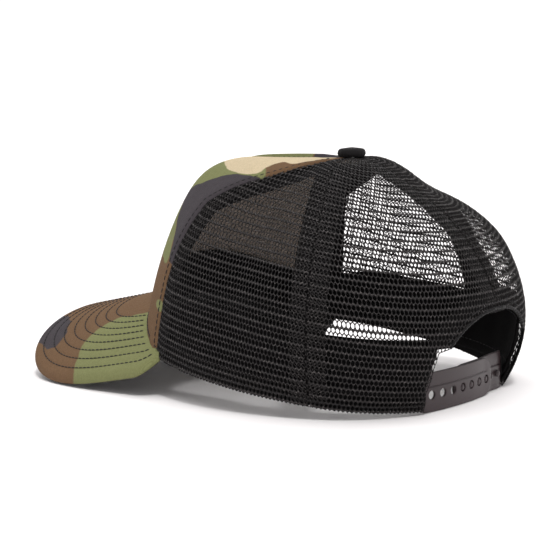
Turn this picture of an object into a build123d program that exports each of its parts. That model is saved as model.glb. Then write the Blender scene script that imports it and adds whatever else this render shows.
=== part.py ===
from build123d import *
import math
import os

os.makedirs("parts", exist_ok=True)

# ---- Driving dimensions, in mm ----
# The cap stands on a table: visor towards -Y, wearer's left +X. Places are worked out from the
# middle of the crown's bottom edge, and every piece is moved to the row's origin at the end.

# Bottom edge of the crown, a squarish oval that touches the table at the rear
HALF_WIDTH = 86.4
HALF_LENGTH = 91.4
OVAL_POWER = 2.3
REST_TILT = 8.3            # degrees that the crown leans back when the cap is set down

# The front of the bottom edge arches up to follow the visor
FRONT_RISE = 20.4
RISE_REACH = 62.0          # degrees either side of the front
RISE_POWER = 1.6

# Top of the crown, and the wall's profile as (roundness power, lean, bulge)
APEX_Y = 19.4
APEX_Z = 119.9
FRONT_WALL = (6.2, 0.22, 0.0)
SIDE_WALL = (2.72, 0.30, 0.075)
REAR_WALL = (1.8, -0.19, 0.247)
WALL_BLEND = 1.5
PROFILE_STEPS = 160

# Seams between the five panels, in degrees round from the front
FRONT_SEAM = 57.0
FRONT_SEAM_SWING = 42.0
FRONT_SEAM_TURN = 0.45     # share of the wall's height at which the seam starts to swing back
SIDE_SEAM = 119.5
SIDE_SEAM_SWING = -12.0
SIDE_SEAM_TURN = 0.55
SEAM_GAP = 0.4             # degrees left on each side of a seam
PANEL_TOP = 0.985          # share of the wall's height at which panels end round the button

# Layers of the wall, as depths inward from the outer face
PANEL_LAYER = (0.0, 0.7)
BACKING_LAYER = (0.9, 1.7)
BINDING_LAYER = (0.85, 1.35)
TAPE_LAYER = (1.85, 2.35)
SIDE_TAPE_LAYER = (2.45, 2.95)
BAND_LAYER = (3.1, 4.3)
THREAD_LAYER = (-0.5, -0.15)
TAPE_WIDTH = 17.0
FRONT_TAPE_WIDTH = 10.2
THREAD_WIDTH = 0.6

# Where each piece starts and ends up the wall, as shares of its height
BACKING_SHARES = (0.02, 0.93)
BACKING_INSET = 2.0        # degrees short of the front seams
SEAM_SHARES = (0.03, 0.9)
SIDE_TAPE_TOP = 0.86
BACK_TAPE_TOP = 0.92
BINDING_TOP = 0.42
DART_SHARES = (0.52, 0.9)
DART_HALF_WIDTH = 1.8
SEAM_STITCH_INSET = 2.2

SWEATBAND_HEIGHT = 33.6

# Opening at the rear
OPENING_HALF_WIDTH = 45.5  # of the arch's full oval, of which only the top is used
OPENING_HEIGHT = 47.5
OPENING_POWER = 2.3
OPENING_SIDES = ((38.0, 0.0), (40.5, 6.0), (43.0, 12.0), (43.5, 24.0), (42.3, 31.0))  # half-width, height
OPENING_STEP_HIGH = 33.0   # above the sides the edge steps in to the bound arch
OPENING_CUT_DEPTH = 150.0
OPENING_CUT_FOOT = -20.0
BAND_END_ANGLE = 153.3     # where the sweatband and the hem's thread stop at the opening
BAND_FOOT_SHARE = 0.012
HEM_STITCH_HEIGHT = 3.0
BINDING_WIDTH = 9.0

# Visor
VISOR_HALF_WIDTH = 82.7
VISOR_WIDEST_Y = -62.0
VISOR_HORN_LENGTH = 40.0   # the outer edge curves back in to the crown behind the widest place
VISOR_TIP = 166.8
VISOR_SQUARENESS = 3.6
VISOR_ARCH_RADIUS = 108.0
VISOR_RIDGE_Z = 47.1       # height of the ridge where it meets the crown
VISOR_SLOPE = 0.209
VISOR_TOP_LAYER = (0.0, 0.9)
VISOR_CORE_LAYER = (0.95, 2.75)
VISOR_UNDER_LAYER = (2.8, 3.6)
VISOR_GAP = 0.35
CORE_INSET = 2.0
STITCH_ROWS = 8
STITCH_FIRST = 5.0
STITCH_PITCH = 5.8
STITCH_LIFT = (0.1, 0.4)
OFF_CROWN = 1.05           # oval sum outside which the visor's rows of thread start
SIDE_INSET = 0.72          # insets are smaller across the arch, where the visor slopes

# Button on top
BUTTON_RADIUS = 7.2
BUTTON_HEIGHT = 4.6
BUTTON_WALL = 0.6
BUTTON_LIFT = 0.9
BUTTON_CURVE = 1.35        # radius of the domed top over the radius of the button
SHANK_RADIUS = 1.3
RIVET_RADIUS = 6.0
RIVET_THICKNESS = 0.8
RIVET_GAP = 0.3
SHELL_GAP = 0.05

# Snap strap
STRAP_HEIGHT = 18.5
STRAP_FOOT = 1.0
STRAP_THICKNESS = 1.4
STRAP_LAP_GAP = 0.25
STRAP_ARC_RADIUS = 150.0
STRAP_DEPTH = 0.9          # outer face of the strap below the outer face of the mesh
STRAP_PIVOT_X = 36.0
STRAP_EASE = 12.0          # length over which the inner strap moves in under the outer one
STRAP_CUT_DEPTH = 200.0
STRAP_TAB_LENGTH = 16.0
STRAP_TAB_GAP = 1.2
SNAP_COUNT = 7
SNAP_PITCH = 7.9
FIRST_HOLE_X = 32.0
FIRST_POST_X = 8.3
HOLE_RADIUS = 2.4
POST_RADIUS = 1.8
POST_HEIGHT = 1.9
POST_SUNK = 0.5            # how far each post starts inside its strap
POST_MARGIN = 2.0
SNAP_DROP = 1.4            # holes and posts lie this far below the strap's middle line
TIP_MARGIN = 4.8
STRAP_TIP_ROUND = 7.0

ON_TABLE = (Align.CENTER, Align.CENTER, Align.MIN)


def oval(angle):
    """Bottom edge of the crown seen from above, at an angle round from the front."""
    turn = math.radians(angle)
    across = math.sin(turn)
    along = math.cos(turn)
    reach = (abs(across) ** OVAL_POWER + abs(along) ** OVAL_POWER) ** (-1.0 / OVAL_POWER)
    return HALF_WIDTH * reach * across, -HALF_LENGTH * reach * along


def edge_height(angle):
    """Height of the bottom edge above the table."""
    y = oval(angle)[1]
    from_front = (angle + 180.0) % 360.0 - 180.0
    bump = max(0.0, 1.0 - (from_front / RISE_REACH) ** 2) ** RISE_POWER
    return (HALF_LENGTH - y) * math.tan(math.radians(REST_TILT)) + FRONT_RISE * bump


def wall_values(angle):
    """Roundness, lean and bulge of the wall, blended between front, side and rear."""
    along = math.cos(math.radians(angle))
    front = max(0.0, along) ** WALL_BLEND
    rear = max(0.0, -along) ** WALL_BLEND
    side = 1.0 - front - rear
    return [front * f + side * s + rear * r for f, s, r in zip(FRONT_WALL, SIDE_WALL, REAR_WALL)]


PROFILES = {}


def wall_profile(angle):
    """Points up the wall from the bottom edge to the apex, with their lengths along it."""
    key = round(angle % 360.0, 5)
    if key not in PROFILES:
        power, lean, bulge = wall_values(angle)
        foot_x, foot_y = oval(angle)
        foot_z = edge_height(angle)
        points = []
        for step in range(PROFILE_STEPS + 1):
            sweep = 0.5 * math.pi * (step / PROFILE_STEPS) ** (power * 0.75)
            rise = math.sin(sweep) ** (2.0 / power)
            reach = max(0.0, math.cos(sweep)) ** (2.0 / power)
            reach *= 1.0 + bulge * 4.0 * rise * (1.0 - rise) - lean * rise
            x = foot_x * reach
            y = APEX_Y + (foot_y - APEX_Y) * reach
            z = foot_z + (APEX_Z - foot_z) * rise
            points.append((x, y, z))
        lengths = [0.0]
        for low, high in zip(points, points[1:]):
            lengths.append(lengths[-1] + math.dist(low, high))
        PROFILES[key] = (points, lengths)
    return PROFILES[key]


def wall_length(angle):
    return wall_profile(angle)[1][-1]


def crown_point(angle, share):
    """Outer face of the crown: share runs from 0 at the bottom edge to 1 at the apex."""
    points, lengths = wall_profile(angle)
    wanted = min(max(share, 0.0), 1.0) * lengths[-1]
    low = 0
    high = len(lengths) - 1
    while high - low > 1:
        middle = (low + high) // 2
        if lengths[middle] <= wanted:
            low = middle
        else:
            high = middle
    part = (wanted - lengths[low]) / (lengths[high] - lengths[low])
    a = points[low]
    b = points[high]
    return Vector(
        a[0] + (b[0] - a[0]) * part,
        a[1] + (b[1] - a[1]) * part,
        a[2] + (b[2] - a[2]) * part,
    )


def crown_inside(angle, share, depth):
    """A point at a depth inward from the crown's outer face."""
    here = crown_point(angle, share)
    round_step = crown_point(angle + 1.0, share) - crown_point(angle - 1.0, share)
    low = max(share - 0.02, 0.0)
    up_step = crown_point(angle, low + 0.04) - crown_point(angle, low)
    inward = up_step.cross(round_step).normalized()
    return here + inward * depth


def front_seam(share):
    turn = max(0.0, (share - FRONT_SEAM_TURN) / (1.0 - FRONT_SEAM_TURN))
    return FRONT_SEAM + FRONT_SEAM_SWING * turn ** 1.4


def side_seam(share):
    turn = max(0.0, (share - SIDE_SEAM_TURN) / (1.0 - SIDE_SEAM_TURN))
    return SIDE_SEAM + SIDE_SEAM_SWING * turn ** 2.0


def centre_back(share):
    return 180.0


def closed_between(outer, inner):
    """A closed solid between two grids of points."""
    skins = [Face.make_surface_from_array_of_points(grid, tol=0.004) for grid in (outer, inner)]
    rims = zip(skins[0].edges(), skins[1].edges())
    sides = [Face.make_surface_from_curves(a, b) for a, b in rims]
    return Solid(Shell(skins + sides))


def crown_sheet(low_angle, high_angle, low_share, high_share, layer, across=12, up=22):
    """A layer of the crown between two seams and two shares of the wall's height."""
    grids = []
    for depth in layer:
        rows = []
        for i in range(across + 1):
            row = []
            for j in range(up + 1):
                share = low_share + (high_share - low_share) * j / up
                start = low_angle(share)
                angle = start + (high_angle(share) - start) * i / across
                row.append(crown_inside(angle, share, depth))
            rows.append(row)
        grids.append(rows)
    return closed_between(*grids)


def beside(seam, degrees):
    return lambda share: seam(share) + degrees


def seam_band(seam, width, low_share, high_share, layer, mirrored=False, shift=0.0, up=24):
    """A strip of an even width that follows a seam; shift moves it sideways in mm."""
    grids = []
    for depth in layer:
        rows = []
        for side in (-0.5, 0.0, 0.5):
            row = []
            for j in range(up + 1):
                share = low_share + (high_share - low_share) * j / up
                angle = seam(share)
                base = crown_point(angle, share)
                spread = (crown_point(angle + 1.0, share) - base).length
                angle += (side * width + shift) / spread
                row.append(crown_inside(-angle if mirrored else angle, share, depth))
            rows.append(row)
        grids.append(rows)
    return closed_between(*grids)


def mirrored_left_to_right(solid):
    return solid.mirror(Plane.YZ)


def opening_cutter(grow):
    """A prism through the rear wall with the outline of the opening, grown by a margin.

    The sides are straight beside the sweatband, and step in to an arch above it.
    """
    half_width = OPENING_HALF_WIDTH + grow
    height = OPENING_HEIGHT + grow
    start = math.asin((OPENING_STEP_HIGH / height) ** (OPENING_POWER / 2.0))
    arc = []
    for step in range(33):
        turn = start + (math.pi - 2.0 * start) * step / 32
        side = math.cos(turn)
        x = -half_width * math.copysign(abs(side) ** (2.0 / OPENING_POWER), side)
        z = height * math.sin(turn) ** (2.0 / OPENING_POWER)
        arc.append((x, z))
    foot = (-OPENING_SIDES[0][0] - grow, OPENING_CUT_FOOT)
    left = [foot] + [(-x - grow, z) for x, z in OPENING_SIDES]
    right = [(-x, z) for x, z in reversed(left)]
    with BuildSketch(Plane.XZ) as outline:
        with BuildLine():
            Polyline(*left, arc[0])
            Spline(*arc)
            Polyline(arc[-1], *right)
            Line(right[-1], left[0])
        make_face()
    return extrude(outline.sketch, amount=-OPENING_CUT_DEPTH)


# ---- Crown ----

OPENING = opening_cutter(0.0)


def make_front_panel():
    return crown_sheet(
        lambda share: -front_seam(share) + SEAM_GAP,
        beside(front_seam, -SEAM_GAP),
        0.0,
        PANEL_TOP,
        PANEL_LAYER,
        across=30,
        up=40,
    )


def make_front_backing():
    return crown_sheet(
        lambda share: -front_seam(share) + BACKING_INSET,
        beside(front_seam, -BACKING_INSET),
        *BACKING_SHARES,
        BACKING_LAYER,
        across=30,
        up=40,
    )


def make_side_mesh():
    return crown_sheet(
        beside(front_seam, SEAM_GAP),
        beside(side_seam, -SEAM_GAP),
        0.0,
        PANEL_TOP,
        PANEL_LAYER,
    )


def make_back_mesh():
    whole = crown_sheet(
        beside(side_seam, SEAM_GAP),
        beside(centre_back, -SEAM_GAP),
        0.0,
        PANEL_TOP,
        PANEL_LAYER,
    )
    return whole - OPENING


def make_back_seam_tape():
    rows = (OPENING_HEIGHT + 2.0) / wall_length(180.0)
    return seam_band(centre_back, TAPE_WIDTH, rows, BACK_TAPE_TOP, TAPE_LAYER)


def make_opening_binding():
    """A flat tape on the inside of the opening's arched edge."""
    spread = 40.0
    wide = crown_sheet(
        lambda share: 180.0 - spread,
        lambda share: 180.0 + spread,
        OPENING_STEP_HIGH / wall_length(180.0),
        BINDING_TOP,
        BINDING_LAYER,
        across=20,
    )
    return (wide & opening_cutter(BINDING_WIDTH)) - OPENING


def make_sweatband():
    """A folded band round the head, from one end of the opening to the other."""
    end = BAND_END_ANGLE
    low = BAND_FOOT_SHARE
    grids = []
    for depth in BAND_LAYER:
        rows = []
        for i in range(61):
            angle = -end + 2.0 * end * i / 60
            row = []
            for j in range(7):
                share = low + SWEATBAND_HEIGHT / wall_length(angle) * j / 6
                row.append(crown_inside(angle, share, depth))
            rows.append(row)
        grids.append(rows)
    return closed_between(*grids)


def make_hem_stitching():
    """A row of thread just above the bottom edge of the crown."""
    end = BAND_END_ANGLE
    height = HEM_STITCH_HEIGHT
    grids = []
    for depth in THREAD_LAYER:
        rows = []
        for i in range(61):
            angle = -end + 2.0 * end * i / 60
            length = wall_length(angle)
            steps = (height, height + THREAD_WIDTH)
            rows.append([crown_inside(angle, step / length, depth) for step in steps])
        grids.append(rows)
    return closed_between(*grids)


def make_seam_stitching():
    """One row of thread on the front panel beside each front seam."""
    rows = []
    for mirrored in (False, True):
        rows.append(
            seam_band(
                front_seam,
                THREAD_WIDTH,
                *SEAM_SHARES,
                THREAD_LAYER,
                mirrored,
                shift=-SEAM_STITCH_INSET,
            )
        )
    return rows


def make_dart_stitching():
    """Thread on both sides of the dart that shapes the top of the front panel."""
    rows = []
    for side in (-DART_HALF_WIDTH, DART_HALF_WIDTH):
        rows.append(
            seam_band(lambda share: 0.0, THREAD_WIDTH, *DART_SHARES, THREAD_LAYER, shift=side)
        )
    return rows


# ---- Visor ----


def visor_outline(inset):
    """The visor's front edge seen from above, drawn in from its outer edge by an inset."""
    half = VISOR_HALF_WIDTH - SIDE_INSET * inset
    depth = VISOR_TIP + VISOR_WIDEST_Y - inset
    points = []
    for step in range(41):
        turn = math.pi * step / 40
        side = math.cos(turn)
        x = half * math.copysign(abs(side) ** (2.0 / VISOR_SQUARENESS), side)
        y = VISOR_WIDEST_Y - depth * math.sin(turn) ** (2.0 / VISOR_SQUARENESS)
        points.append((x, y))
    return points


def visor_horn(inset):
    """The right-hand end of the outline, behind the widest place."""
    half = VISOR_HALF_WIDTH - SIDE_INSET * inset
    points = []
    for step in range(9):
        turn = 0.5 * math.pi * step / 9
        points.append((half * math.cos(turn), VISOR_WIDEST_Y + VISOR_HORN_LENGTH * math.sin(turn)))
    return points


def crown_side(gap):
    """The visor's inner edge, which follows the crown's bottom edge at a gap."""
    points = []
    for step in range(49):
        angle = -88.0 + 176.0 * step / 48
        x, y = oval(angle)
        grow = 1.0 + gap / HALF_WIDTH
        points.append((x * grow, y * grow))
    return points


def visor_plan(inset, gap):
    """A tall prism with the visor's outline as seen from above."""
    low = -30.0
    tall = 120.0
    with BuildSketch(Plane.XY.offset(low)) as outer:
        with BuildLine():
            Spline(*visor_outline(inset))
            right = Spline(*visor_horn(inset))
            left = Spline(*[(-x, y) for x, y in visor_horn(inset)])
            Line(right @ 1, left @ 1)
        make_face()
    with BuildSketch(Plane.XY.offset(low)) as hole:
        with BuildLine():
            edge = Spline(*crown_side(gap))
            Line(edge @ 0, edge @ 1)
        make_face()
    return extrude(outer.sketch, amount=tall) - extrude(hole.sketch, amount=tall)


def visor_band(layer):
    """A curved band that slopes down to the tip, thick enough for one layer."""
    ridge = VISOR_RIDGE_Z + VISOR_SLOPE * HALF_LENGTH
    centre = ridge - VISOR_ARCH_RADIUS
    past_tip = 20.0
    reach = VISOR_TIP + past_tip
    lower_part = 1.1 * VISOR_ARCH_RADIUS
    lower_middle = centre - 0.45 * VISOR_ARCH_RADIUS
    with BuildSketch(Plane.XZ) as ring:
        with Locations((0, centre)):
            Circle(VISOR_ARCH_RADIUS - layer[0])
            Circle(VISOR_ARCH_RADIUS - layer[1], mode=Mode.SUBTRACT)
        with Locations((0, lower_middle)):
            Rectangle(3.0 * VISOR_ARCH_RADIUS, lower_part, mode=Mode.SUBTRACT)
    slope = Vector(0, -reach, -reach * VISOR_SLOPE)
    return extrude(ring.sketch, amount=slope.length, dir=slope.normalized())


def visor_height(x, y):
    """Height of the visor's top face."""
    drop = VISOR_ARCH_RADIUS - math.sqrt(VISOR_ARCH_RADIUS ** 2 - x ** 2)
    return VISOR_RIDGE_Z + VISOR_SLOPE * (y + HALF_LENGTH) - drop


def make_visor_layer(layer, inset, gap):
    return visor_band(layer) & visor_plan(inset, gap)


def make_visor_stitching():
    """Rows of thread that run parallel to the visor's outer edge."""
    rows = []
    for row in range(STITCH_ROWS):
        inset = STITCH_FIRST + STITCH_PITCH * row
        clear = [place for place in visor_outline(inset) if is_off_crown(place)]
        grids = []
        for lift in STITCH_LIFT:
            lines = []
            for side in (-0.5, 0.5):
                line = []
                for x, y in clear:
                    place = (x, y + side * THREAD_WIDTH)
                    line.append(Vector(*place, visor_height(*place) + lift))
                lines.append(line)
            grids.append(lines)
        rows.append(closed_between(*grids))
    return rows


def is_off_crown(place):
    x, y = place
    oval_sum = abs(x / HALF_WIDTH) ** OVAL_POWER + abs(y / HALF_LENGTH) ** OVAL_POWER
    return oval_sum > OFF_CROWN


# ---- Button ----


def button_dome(radius, height):
    """A low disc with a rounded top."""
    curve = radius * BUTTON_CURVE
    ball = Sphere(curve).moved(Location((0, 0, height - curve)))
    upper = Box(4.0 * radius, 4.0 * radius, 4.0 * radius, align=ON_TABLE)
    return Cylinder(radius, 2.0 * height) & ball & upper


def at_apex(solid, lift):
    return solid.moved(Location((0, APEX_Y, APEX_Z + lift)))


def make_button_cover():
    outer = button_dome(BUTTON_RADIUS, BUTTON_HEIGHT)
    inner = button_dome(BUTTON_RADIUS - BUTTON_WALL, BUTTON_HEIGHT - BUTTON_WALL)
    return at_apex(outer - inner, BUTTON_LIFT)


def make_button_shell():
    radius = BUTTON_RADIUS - BUTTON_WALL - SHELL_GAP
    height = BUTTON_HEIGHT - BUTTON_WALL - SHELL_GAP
    outer = button_dome(radius, height)
    inner = button_dome(radius - BUTTON_WALL, height - BUTTON_WALL)
    return at_apex(outer - inner, BUTTON_LIFT)


def make_button_rivet():
    """A shank through the top of the crown with a flange on the inside."""
    flange_top = -max(SIDE_TAPE_LAYER) - RIVET_GAP
    flange = Cylinder(RIVET_RADIUS, RIVET_THICKNESS, align=(Align.CENTER, Align.CENTER, Align.MAX))
    shank_top = BUTTON_LIFT + BUTTON_HEIGHT - 2.0 * BUTTON_WALL - RIVET_GAP
    shank = Cylinder(SHANK_RADIUS, shank_top - flange_top, align=ON_TABLE)
    return at_apex((flange + shank).moved(Location((0, 0, flange_top))), 0.0)


# ---- Snap strap ----

def oval_share(x):
    """How far back the oval reaches beside a place x, as a share of its half-length."""
    return (1.0 - (x / HALF_WIDTH) ** OVAL_POWER) ** (1.0 / OVAL_POWER)


def outer_strap_y(x):
    """Outer face of the strap with holes, a shallow arc between the two pivots."""
    at_pivot = HALF_LENGTH * oval_share(STRAP_PIVOT_X) - STRAP_DEPTH
    return at_pivot + (STRAP_PIVOT_X ** 2 - x ** 2) / (2.0 * STRAP_ARC_RADIUS)


def inner_strap_y(x):
    """Outer face of the strap with posts, which slips in under the other one."""
    share = min(max((x + STRAP_PIVOT_X) / STRAP_EASE, 0.0), 1.0)
    ease = share * share * (3.0 - 2.0 * share)
    return outer_strap_y(x) - ease * (STRAP_THICKNESS + STRAP_LAP_GAP)


def strap_band(face, low_x, high_x):
    """A strap of even thickness standing on its edge, between two places along X."""
    count = 24
    outer = []
    inner = []
    for step in range(count + 1):
        x = low_x + (high_x - low_x) * step / count
        slope = (face(x + 0.1) - face(x - 0.1)) / 0.2
        length = math.hypot(1.0, slope)
        outer.append((x, face(x)))
        inner.append((x + STRAP_THICKNESS * slope / length, face(x) - STRAP_THICKNESS / length))
    with BuildSketch(Plane.XY.offset(STRAP_FOOT)) as plan:
        with BuildLine():
            top = Spline(*outer)
            bottom = Spline(*inner)
            Line(top @ 0, bottom @ 0)
            Line(top @ 1, bottom @ 1)
        make_face()
    return extrude(plan.sketch, amount=STRAP_HEIGHT)


def rounded_end(low_x, high_x, round_low, round_high):
    """A prism along Y that rounds the corners of a strap's ends."""
    middle = STRAP_FOOT + STRAP_HEIGHT / 2.0
    with BuildSketch(Plane.XZ) as side:
        with Locations(((low_x + high_x) / 2.0, middle)):
            Rectangle(high_x - low_x, STRAP_HEIGHT)
        ends = side.vertices()
        if round_low:
            fillet(ends.filter_by(lambda v: v.X < (low_x + high_x) / 2.0), round_low)
        if round_high:
            corners = [v for v in side.vertices() if abs(v.X - high_x) < 0.01]
            fillet(corners, round_high)
    return extrude(side.sketch, amount=-STRAP_CUT_DEPTH)


def strap_knuckle(pivot_x):
    """The rounded root of a strap, centred on the line it flexes about."""
    y = outer_strap_y(pivot_x) - STRAP_THICKNESS / 2.0
    radius = STRAP_THICKNESS / 2.0
    knuckle = Cylinder(radius, STRAP_HEIGHT, align=ON_TABLE)
    return knuckle.moved(Location((pivot_x, y, STRAP_FOOT)))


def snap_places(first_x):
    return [first_x - SNAP_PITCH * step for step in range(SNAP_COUNT)]


def snap_peg(face, x, radius, length, start):
    """A round peg square to a strap's face, starting at a depth under it."""
    slope = (face(x + 0.1) - face(x - 0.1)) / 0.2
    outward = Vector(-slope, 1.0, 0.0).normalized()
    height = STRAP_FOOT + STRAP_HEIGHT / 2.0 - SNAP_DROP
    foot = Vector(x, face(x), height) - outward * start
    plane = Plane(origin=foot, z_dir=outward)
    return plane * Cylinder(radius, length, align=ON_TABLE)


def make_left_strap():
    """The outer strap, with a row of holes."""
    tip = FIRST_HOLE_X - SNAP_PITCH * (SNAP_COUNT - 1) - TIP_MARGIN
    band = strap_band(outer_strap_y, tip, STRAP_PIVOT_X)
    band = band & rounded_end(tip, STRAP_PIVOT_X + 1.0, STRAP_TIP_ROUND, 0.0)
    band = band + strap_knuckle(STRAP_PIVOT_X)
    for x in snap_places(FIRST_HOLE_X):
        start = 2.0 * STRAP_THICKNESS
        band = band - snap_peg(outer_strap_y, x, HOLE_RADIUS, 1.5 * start, start)
    return band


def make_right_strap():
    """The inner strap, with a row of posts that press into the holes."""
    tip = FIRST_POST_X + TIP_MARGIN
    band = strap_band(inner_strap_y, -STRAP_PIVOT_X, tip)
    band = band & rounded_end(-STRAP_PIVOT_X - 1.0, tip, 0.0, STRAP_TIP_ROUND)
    band = band + strap_knuckle(-STRAP_PIVOT_X)
    for x in snap_places(FIRST_POST_X):
        if x > -STRAP_PIVOT_X + POST_MARGIN:
            length = POST_HEIGHT + POST_SUNK
            band = band + snap_peg(inner_strap_y, x, POST_RADIUS, length, POST_SUNK)
    return band


def make_strap_tab():
    """The sewn end of a strap, held between the mesh and the sweatband."""
    low_x = STRAP_PIVOT_X + STRAP_THICKNESS / 2.0 + STRAP_TAB_GAP
    grids = []
    for depth in (STRAP_DEPTH, STRAP_DEPTH + STRAP_THICKNESS):
        rows = []
        for i in range(9):
            x = low_x + STRAP_TAB_LENGTH * i / 8
            angle = 180.0 - math.degrees(math.atan2(x / HALF_WIDTH, oval_share(x)))
            row = []
            for j in range(5):
                height = STRAP_FOOT + STRAP_HEIGHT * j / 4
                row.append(crown_inside(angle, height / wall_length(angle), depth))
            rows.append(row)
        grids.append(rows)
    return closed_between(*grids)


# ---- Every node, and its file ----

side_mesh = make_side_mesh()
back_mesh = make_back_mesh()
front_tape = seam_band(front_seam, FRONT_TAPE_WIDTH, *SEAM_SHARES, TAPE_LAYER)
side_tape = seam_band(side_seam, TAPE_WIDTH, SEAM_SHARES[0], SIDE_TAPE_TOP, SIDE_TAPE_LAYER)
strap_tab = make_strap_tab()

NODES = {
    "front_panel": make_front_panel(),
    "front_backing": make_front_backing(),
    "left_side_mesh": side_mesh,
    "right_side_mesh": mirrored_left_to_right(side_mesh),
    "left_back_mesh": back_mesh,
    "right_back_mesh": mirrored_left_to_right(back_mesh),
    "left_front_seam_tape": front_tape,
    "right_front_seam_tape": mirrored_left_to_right(front_tape),
    "left_side_seam_tape": side_tape,
    "right_side_seam_tape": mirrored_left_to_right(side_tape),
    "back_seam_tape": make_back_seam_tape(),
    "opening_binding": make_opening_binding(),
    "sweatband": make_sweatband(),
    "hem_stitching": make_hem_stitching(),
    "front_seam_stitching": Compound(children=make_seam_stitching()),
    "dart_stitching": Compound(children=make_dart_stitching()),
    "visor_top_cover": make_visor_layer(VISOR_TOP_LAYER, 0.0, VISOR_GAP),
    "visor_core": make_visor_layer(VISOR_CORE_LAYER, CORE_INSET, VISOR_GAP + CORE_INSET),
    "visor_under_cover": make_visor_layer(VISOR_UNDER_LAYER, 0.0, VISOR_GAP),
    "visor_stitching": Compound(children=make_visor_stitching()),
    "button_cover": make_button_cover(),
    "button_shell": make_button_shell(),
    "button_rivet": make_button_rivet(),
    "left_strap": make_left_strap(),
    "left_strap_tab": strap_tab,
    "right_strap": make_right_strap(),
    "right_strap_tab": mirrored_left_to_right(strap_tab),
}

whole = Compound(children=[shape.moved(Location()) for shape in NODES.values()]).bounding_box()
to_origin = Location((-whole.center().X, -whole.center().Y, -whole.min.Z))

for name, node in NODES.items():
    shape = node.moved(to_origin)
    export_step(shape, f"parts/{name}.step")
    box = shape.bounding_box()
    low = (round(box.min.X, 1), round(box.min.Y, 1), round(box.min.Z, 1))
    high = (round(box.max.X, 1), round(box.max.Y, 1), round(box.max.Z, 1))
    print(name, "solids", len(shape.solids()), "volume", round(shape.volume), "box", low, high)

print("moved by", [round(value, 3) for value in to_origin.position])
pivot_y = outer_strap_y(STRAP_PIVOT_X) - STRAP_THICKNESS / 2.0 + to_origin.position.Y
print("strap pivots at x", STRAP_PIVOT_X, "and", -STRAP_PIVOT_X, "y", round(pivot_y, 2))
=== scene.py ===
import math
from contextlib import contextmanager

import bmesh
import bpy
import numpy as np
from mathutils import Matrix, Vector, noise


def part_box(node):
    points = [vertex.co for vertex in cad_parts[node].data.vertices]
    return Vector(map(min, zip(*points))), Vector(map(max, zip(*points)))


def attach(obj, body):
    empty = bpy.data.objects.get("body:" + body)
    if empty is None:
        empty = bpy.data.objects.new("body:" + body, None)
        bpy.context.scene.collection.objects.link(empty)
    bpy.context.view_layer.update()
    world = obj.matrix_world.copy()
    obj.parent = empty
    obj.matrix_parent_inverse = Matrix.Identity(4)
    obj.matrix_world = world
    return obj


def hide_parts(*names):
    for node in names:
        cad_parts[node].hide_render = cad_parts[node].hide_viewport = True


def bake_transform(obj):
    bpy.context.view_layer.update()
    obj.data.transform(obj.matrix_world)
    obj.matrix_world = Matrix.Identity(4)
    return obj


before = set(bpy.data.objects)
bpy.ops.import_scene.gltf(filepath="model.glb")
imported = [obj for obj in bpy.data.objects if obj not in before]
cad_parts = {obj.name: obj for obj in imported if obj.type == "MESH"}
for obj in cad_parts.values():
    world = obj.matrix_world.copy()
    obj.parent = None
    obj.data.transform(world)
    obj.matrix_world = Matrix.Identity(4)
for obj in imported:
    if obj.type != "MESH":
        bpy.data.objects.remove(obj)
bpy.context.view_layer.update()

# Sizes here are in mm, in the cap's own coordinates: the middle of the crown's bottom oval is the
# origin, the visor points to -Y and the wearer's left is +X. to_row() gives metres in the frame.
MM = 0.001

# ---- The crown's surface. Values that part.py also has are the same there, apart from the front seam's
# course: here it turns at 0.51 with a power of 1.1, and in the CAD at 0.45 with 1.4. ----
HALF_WIDTH = 86.4
HALF_LENGTH = 91.4
OVAL_POWER = 2.3
REST_TILT = 8.3
FRONT_RISE = 20.4
RISE_REACH = 62.0
RISE_POWER = 1.6
APEX_Y = 19.4
APEX_Z = 119.9
FRONT_WALL = (6.2, 0.22, 0.0)
SIDE_WALL = (2.72, 0.30, 0.075)
REAR_WALL = (1.8, -0.19, 0.247)
WALL_BLEND = 1.5
FRONT_SEAM, SIDE_SEAM = 57.0, 119.5         # angles of the seams at the hem
FRONT_SEAM_COURSE = (42.0, 0.51, 1.1)       # how far the seam swings, from which share on, and the power
SIDE_SEAM_COURSE = (-12.0, 0.55, 2.0)
PANEL_TOP = 0.985
SWEATBAND_HEIGHT = 33.6
BAND_FOOT = 3.0                  # how far above the hem the sweatband starts
HEM_TAPE_HEIGHT = 10.5
HEM_TAPE_RADIUS, BAND_RADIUS = 89.0, 88.0   # mean radii, to spread the tape and the band on the flat
# Depths in mm under the crown's outer face, of the outer and the inner side of each layer
BACKING_DEPTHS = (0.95, 1.7)
BINDING_DEPTHS = (0.85, 1.45)
HEM_TAPE_DEPTHS = (1.82, 2.40)
BAND_DEPTHS = (2.9, 4.4)
BAND_BELLY = 0.5
HEM_STITCH_HEIGHT, BRIM_STITCH_HEIGHT = 4.2, 5.0
BAND_ROWS = (0.16, 0.9)          # where the sweatband's rows of stitches lie, as shares of its height
FRONT_TAPE_DROP = 4.9            # the tape also covers the visor's inner edge
BAND_FRONT_SHARE = 0.56
BAND_TAIL_RISE = 2.6             # the sweatband runs a little higher beside the opening

OPENING_HALF_WIDTH = 45.5
OPENING_HEIGHT = 47.5
OPENING_POWER = 2.3
OPENING_SIDES = ((38.0, 0.0), (40.5, 6.0), (43.0, 12.0), (43.5, 24.0), (42.3, 31.0))
OPENING_STEP_HIGH = 33.0
BAND_END_ANGLE = 153.3

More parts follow.
